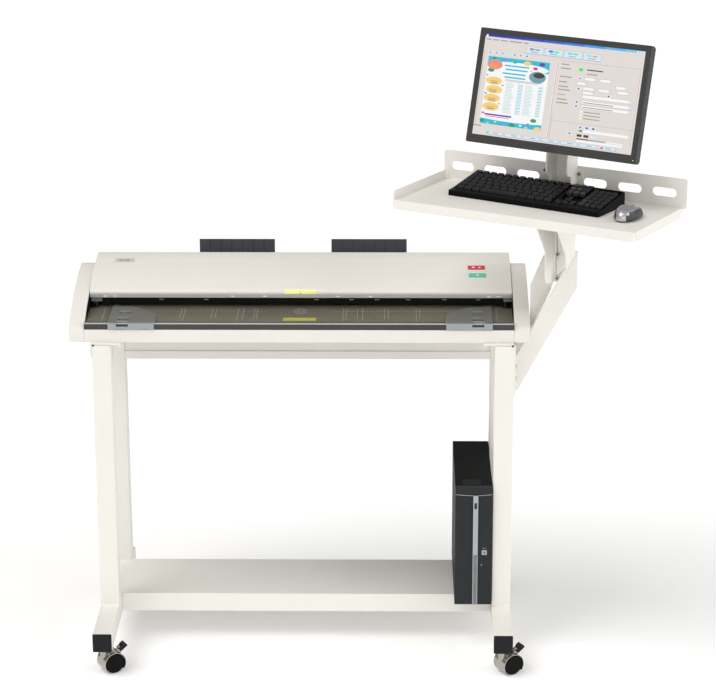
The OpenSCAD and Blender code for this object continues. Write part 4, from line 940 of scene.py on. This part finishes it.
# ---------------------------------------------------------------- world and lights
# the sky is brighter towards the operator's side
world = bpy.data.worlds.new("studio")
bpy.context.scene.world = world
world.use_nodes = True
tree = world.node_tree
background = tree.nodes["Background"]
coords = add_node(tree, "TexCoord")
split = add_node(tree, "SeparateXYZ")
tree.links.new(coords.outputs["Generated"], split.inputs[0])
fade = add_node(tree, "MapRange")
fade.interpolation_type = "SMOOTHSTEP"
for socket, value in {"From Min": -0.9, "From Max": 0.5, "To Min": 0.68, "To Max": 0.30}.items():
    fade.inputs[socket].default_value = value
tree.links.new(split.outputs[1], fade.inputs["Value"])
background.inputs[0].default_value = (1.0, 0.99, 0.975, 1)
tree.links.new(fade.outputs[0], background.inputs[1])

def sun(name, source, strength, angle, color):
    """Sun shining from the source direction; angle is its spread in degrees."""
    light = bpy.data.lights.new(name, "SUN")
    light.energy = strength
    light.angle = math.radians(angle)
    light.color = color
    lamp = link_object(name, light)
    lamp.rotation_euler = (-Vector(source)).to_track_quat("-Z", "Y").to_euler()

sun("key_soft", source=(-0.50, -0.24, 0.82), strength=1.42, angle=40, color=(1.0, 0.985, 0.965))
sun("fill_right", source=(0.90, -0.22, 0.36), strength=1.15, angle=60, color=(0.97, 0.985, 1.0))
sun("front_low", source=(0.06, -0.99, 0.10), strength=0.34, angle=50, color=(1.0, 0.99, 0.975))

# ---------------------------------------------------------------- camera (metres)
CAMERA_PLACE = (0.256, -6.38338, 2.81362)
pitch = math.radians(17.32)     # looking down
yaw = math.radians(-1.0)        # towards -X
roll = math.radians(-0.18)
forward = Vector((math.sin(yaw) * math.cos(pitch), math.cos(yaw) * math.cos(pitch),
                  -math.sin(pitch)))
level = Vector((math.cos(yaw), -math.sin(yaw), 0))
upright = level.cross(forward)
right = level * math.cos(roll) + upright * math.sin(roll)
up = upright * math.cos(roll) - level * math.sin(roll)
lens = bpy.data.cameras.new("camera")
camera = link_object("camera", lens)
camera.matrix_world = move(*CAMERA_PLACE) @ Matrix((right, up, -forward)).transposed().to_4x4()
lens.sensor_fit = "HORIZONTAL"
lens.sensor_width = 36.0
lens.lens = 124.983855
lens.clip_end = 200
bpy.context.scene.camera = camera
view = bpy.context.scene.view_settings
view.view_transform = "Standard"
view.look = "None"
view.exposure = 0.0
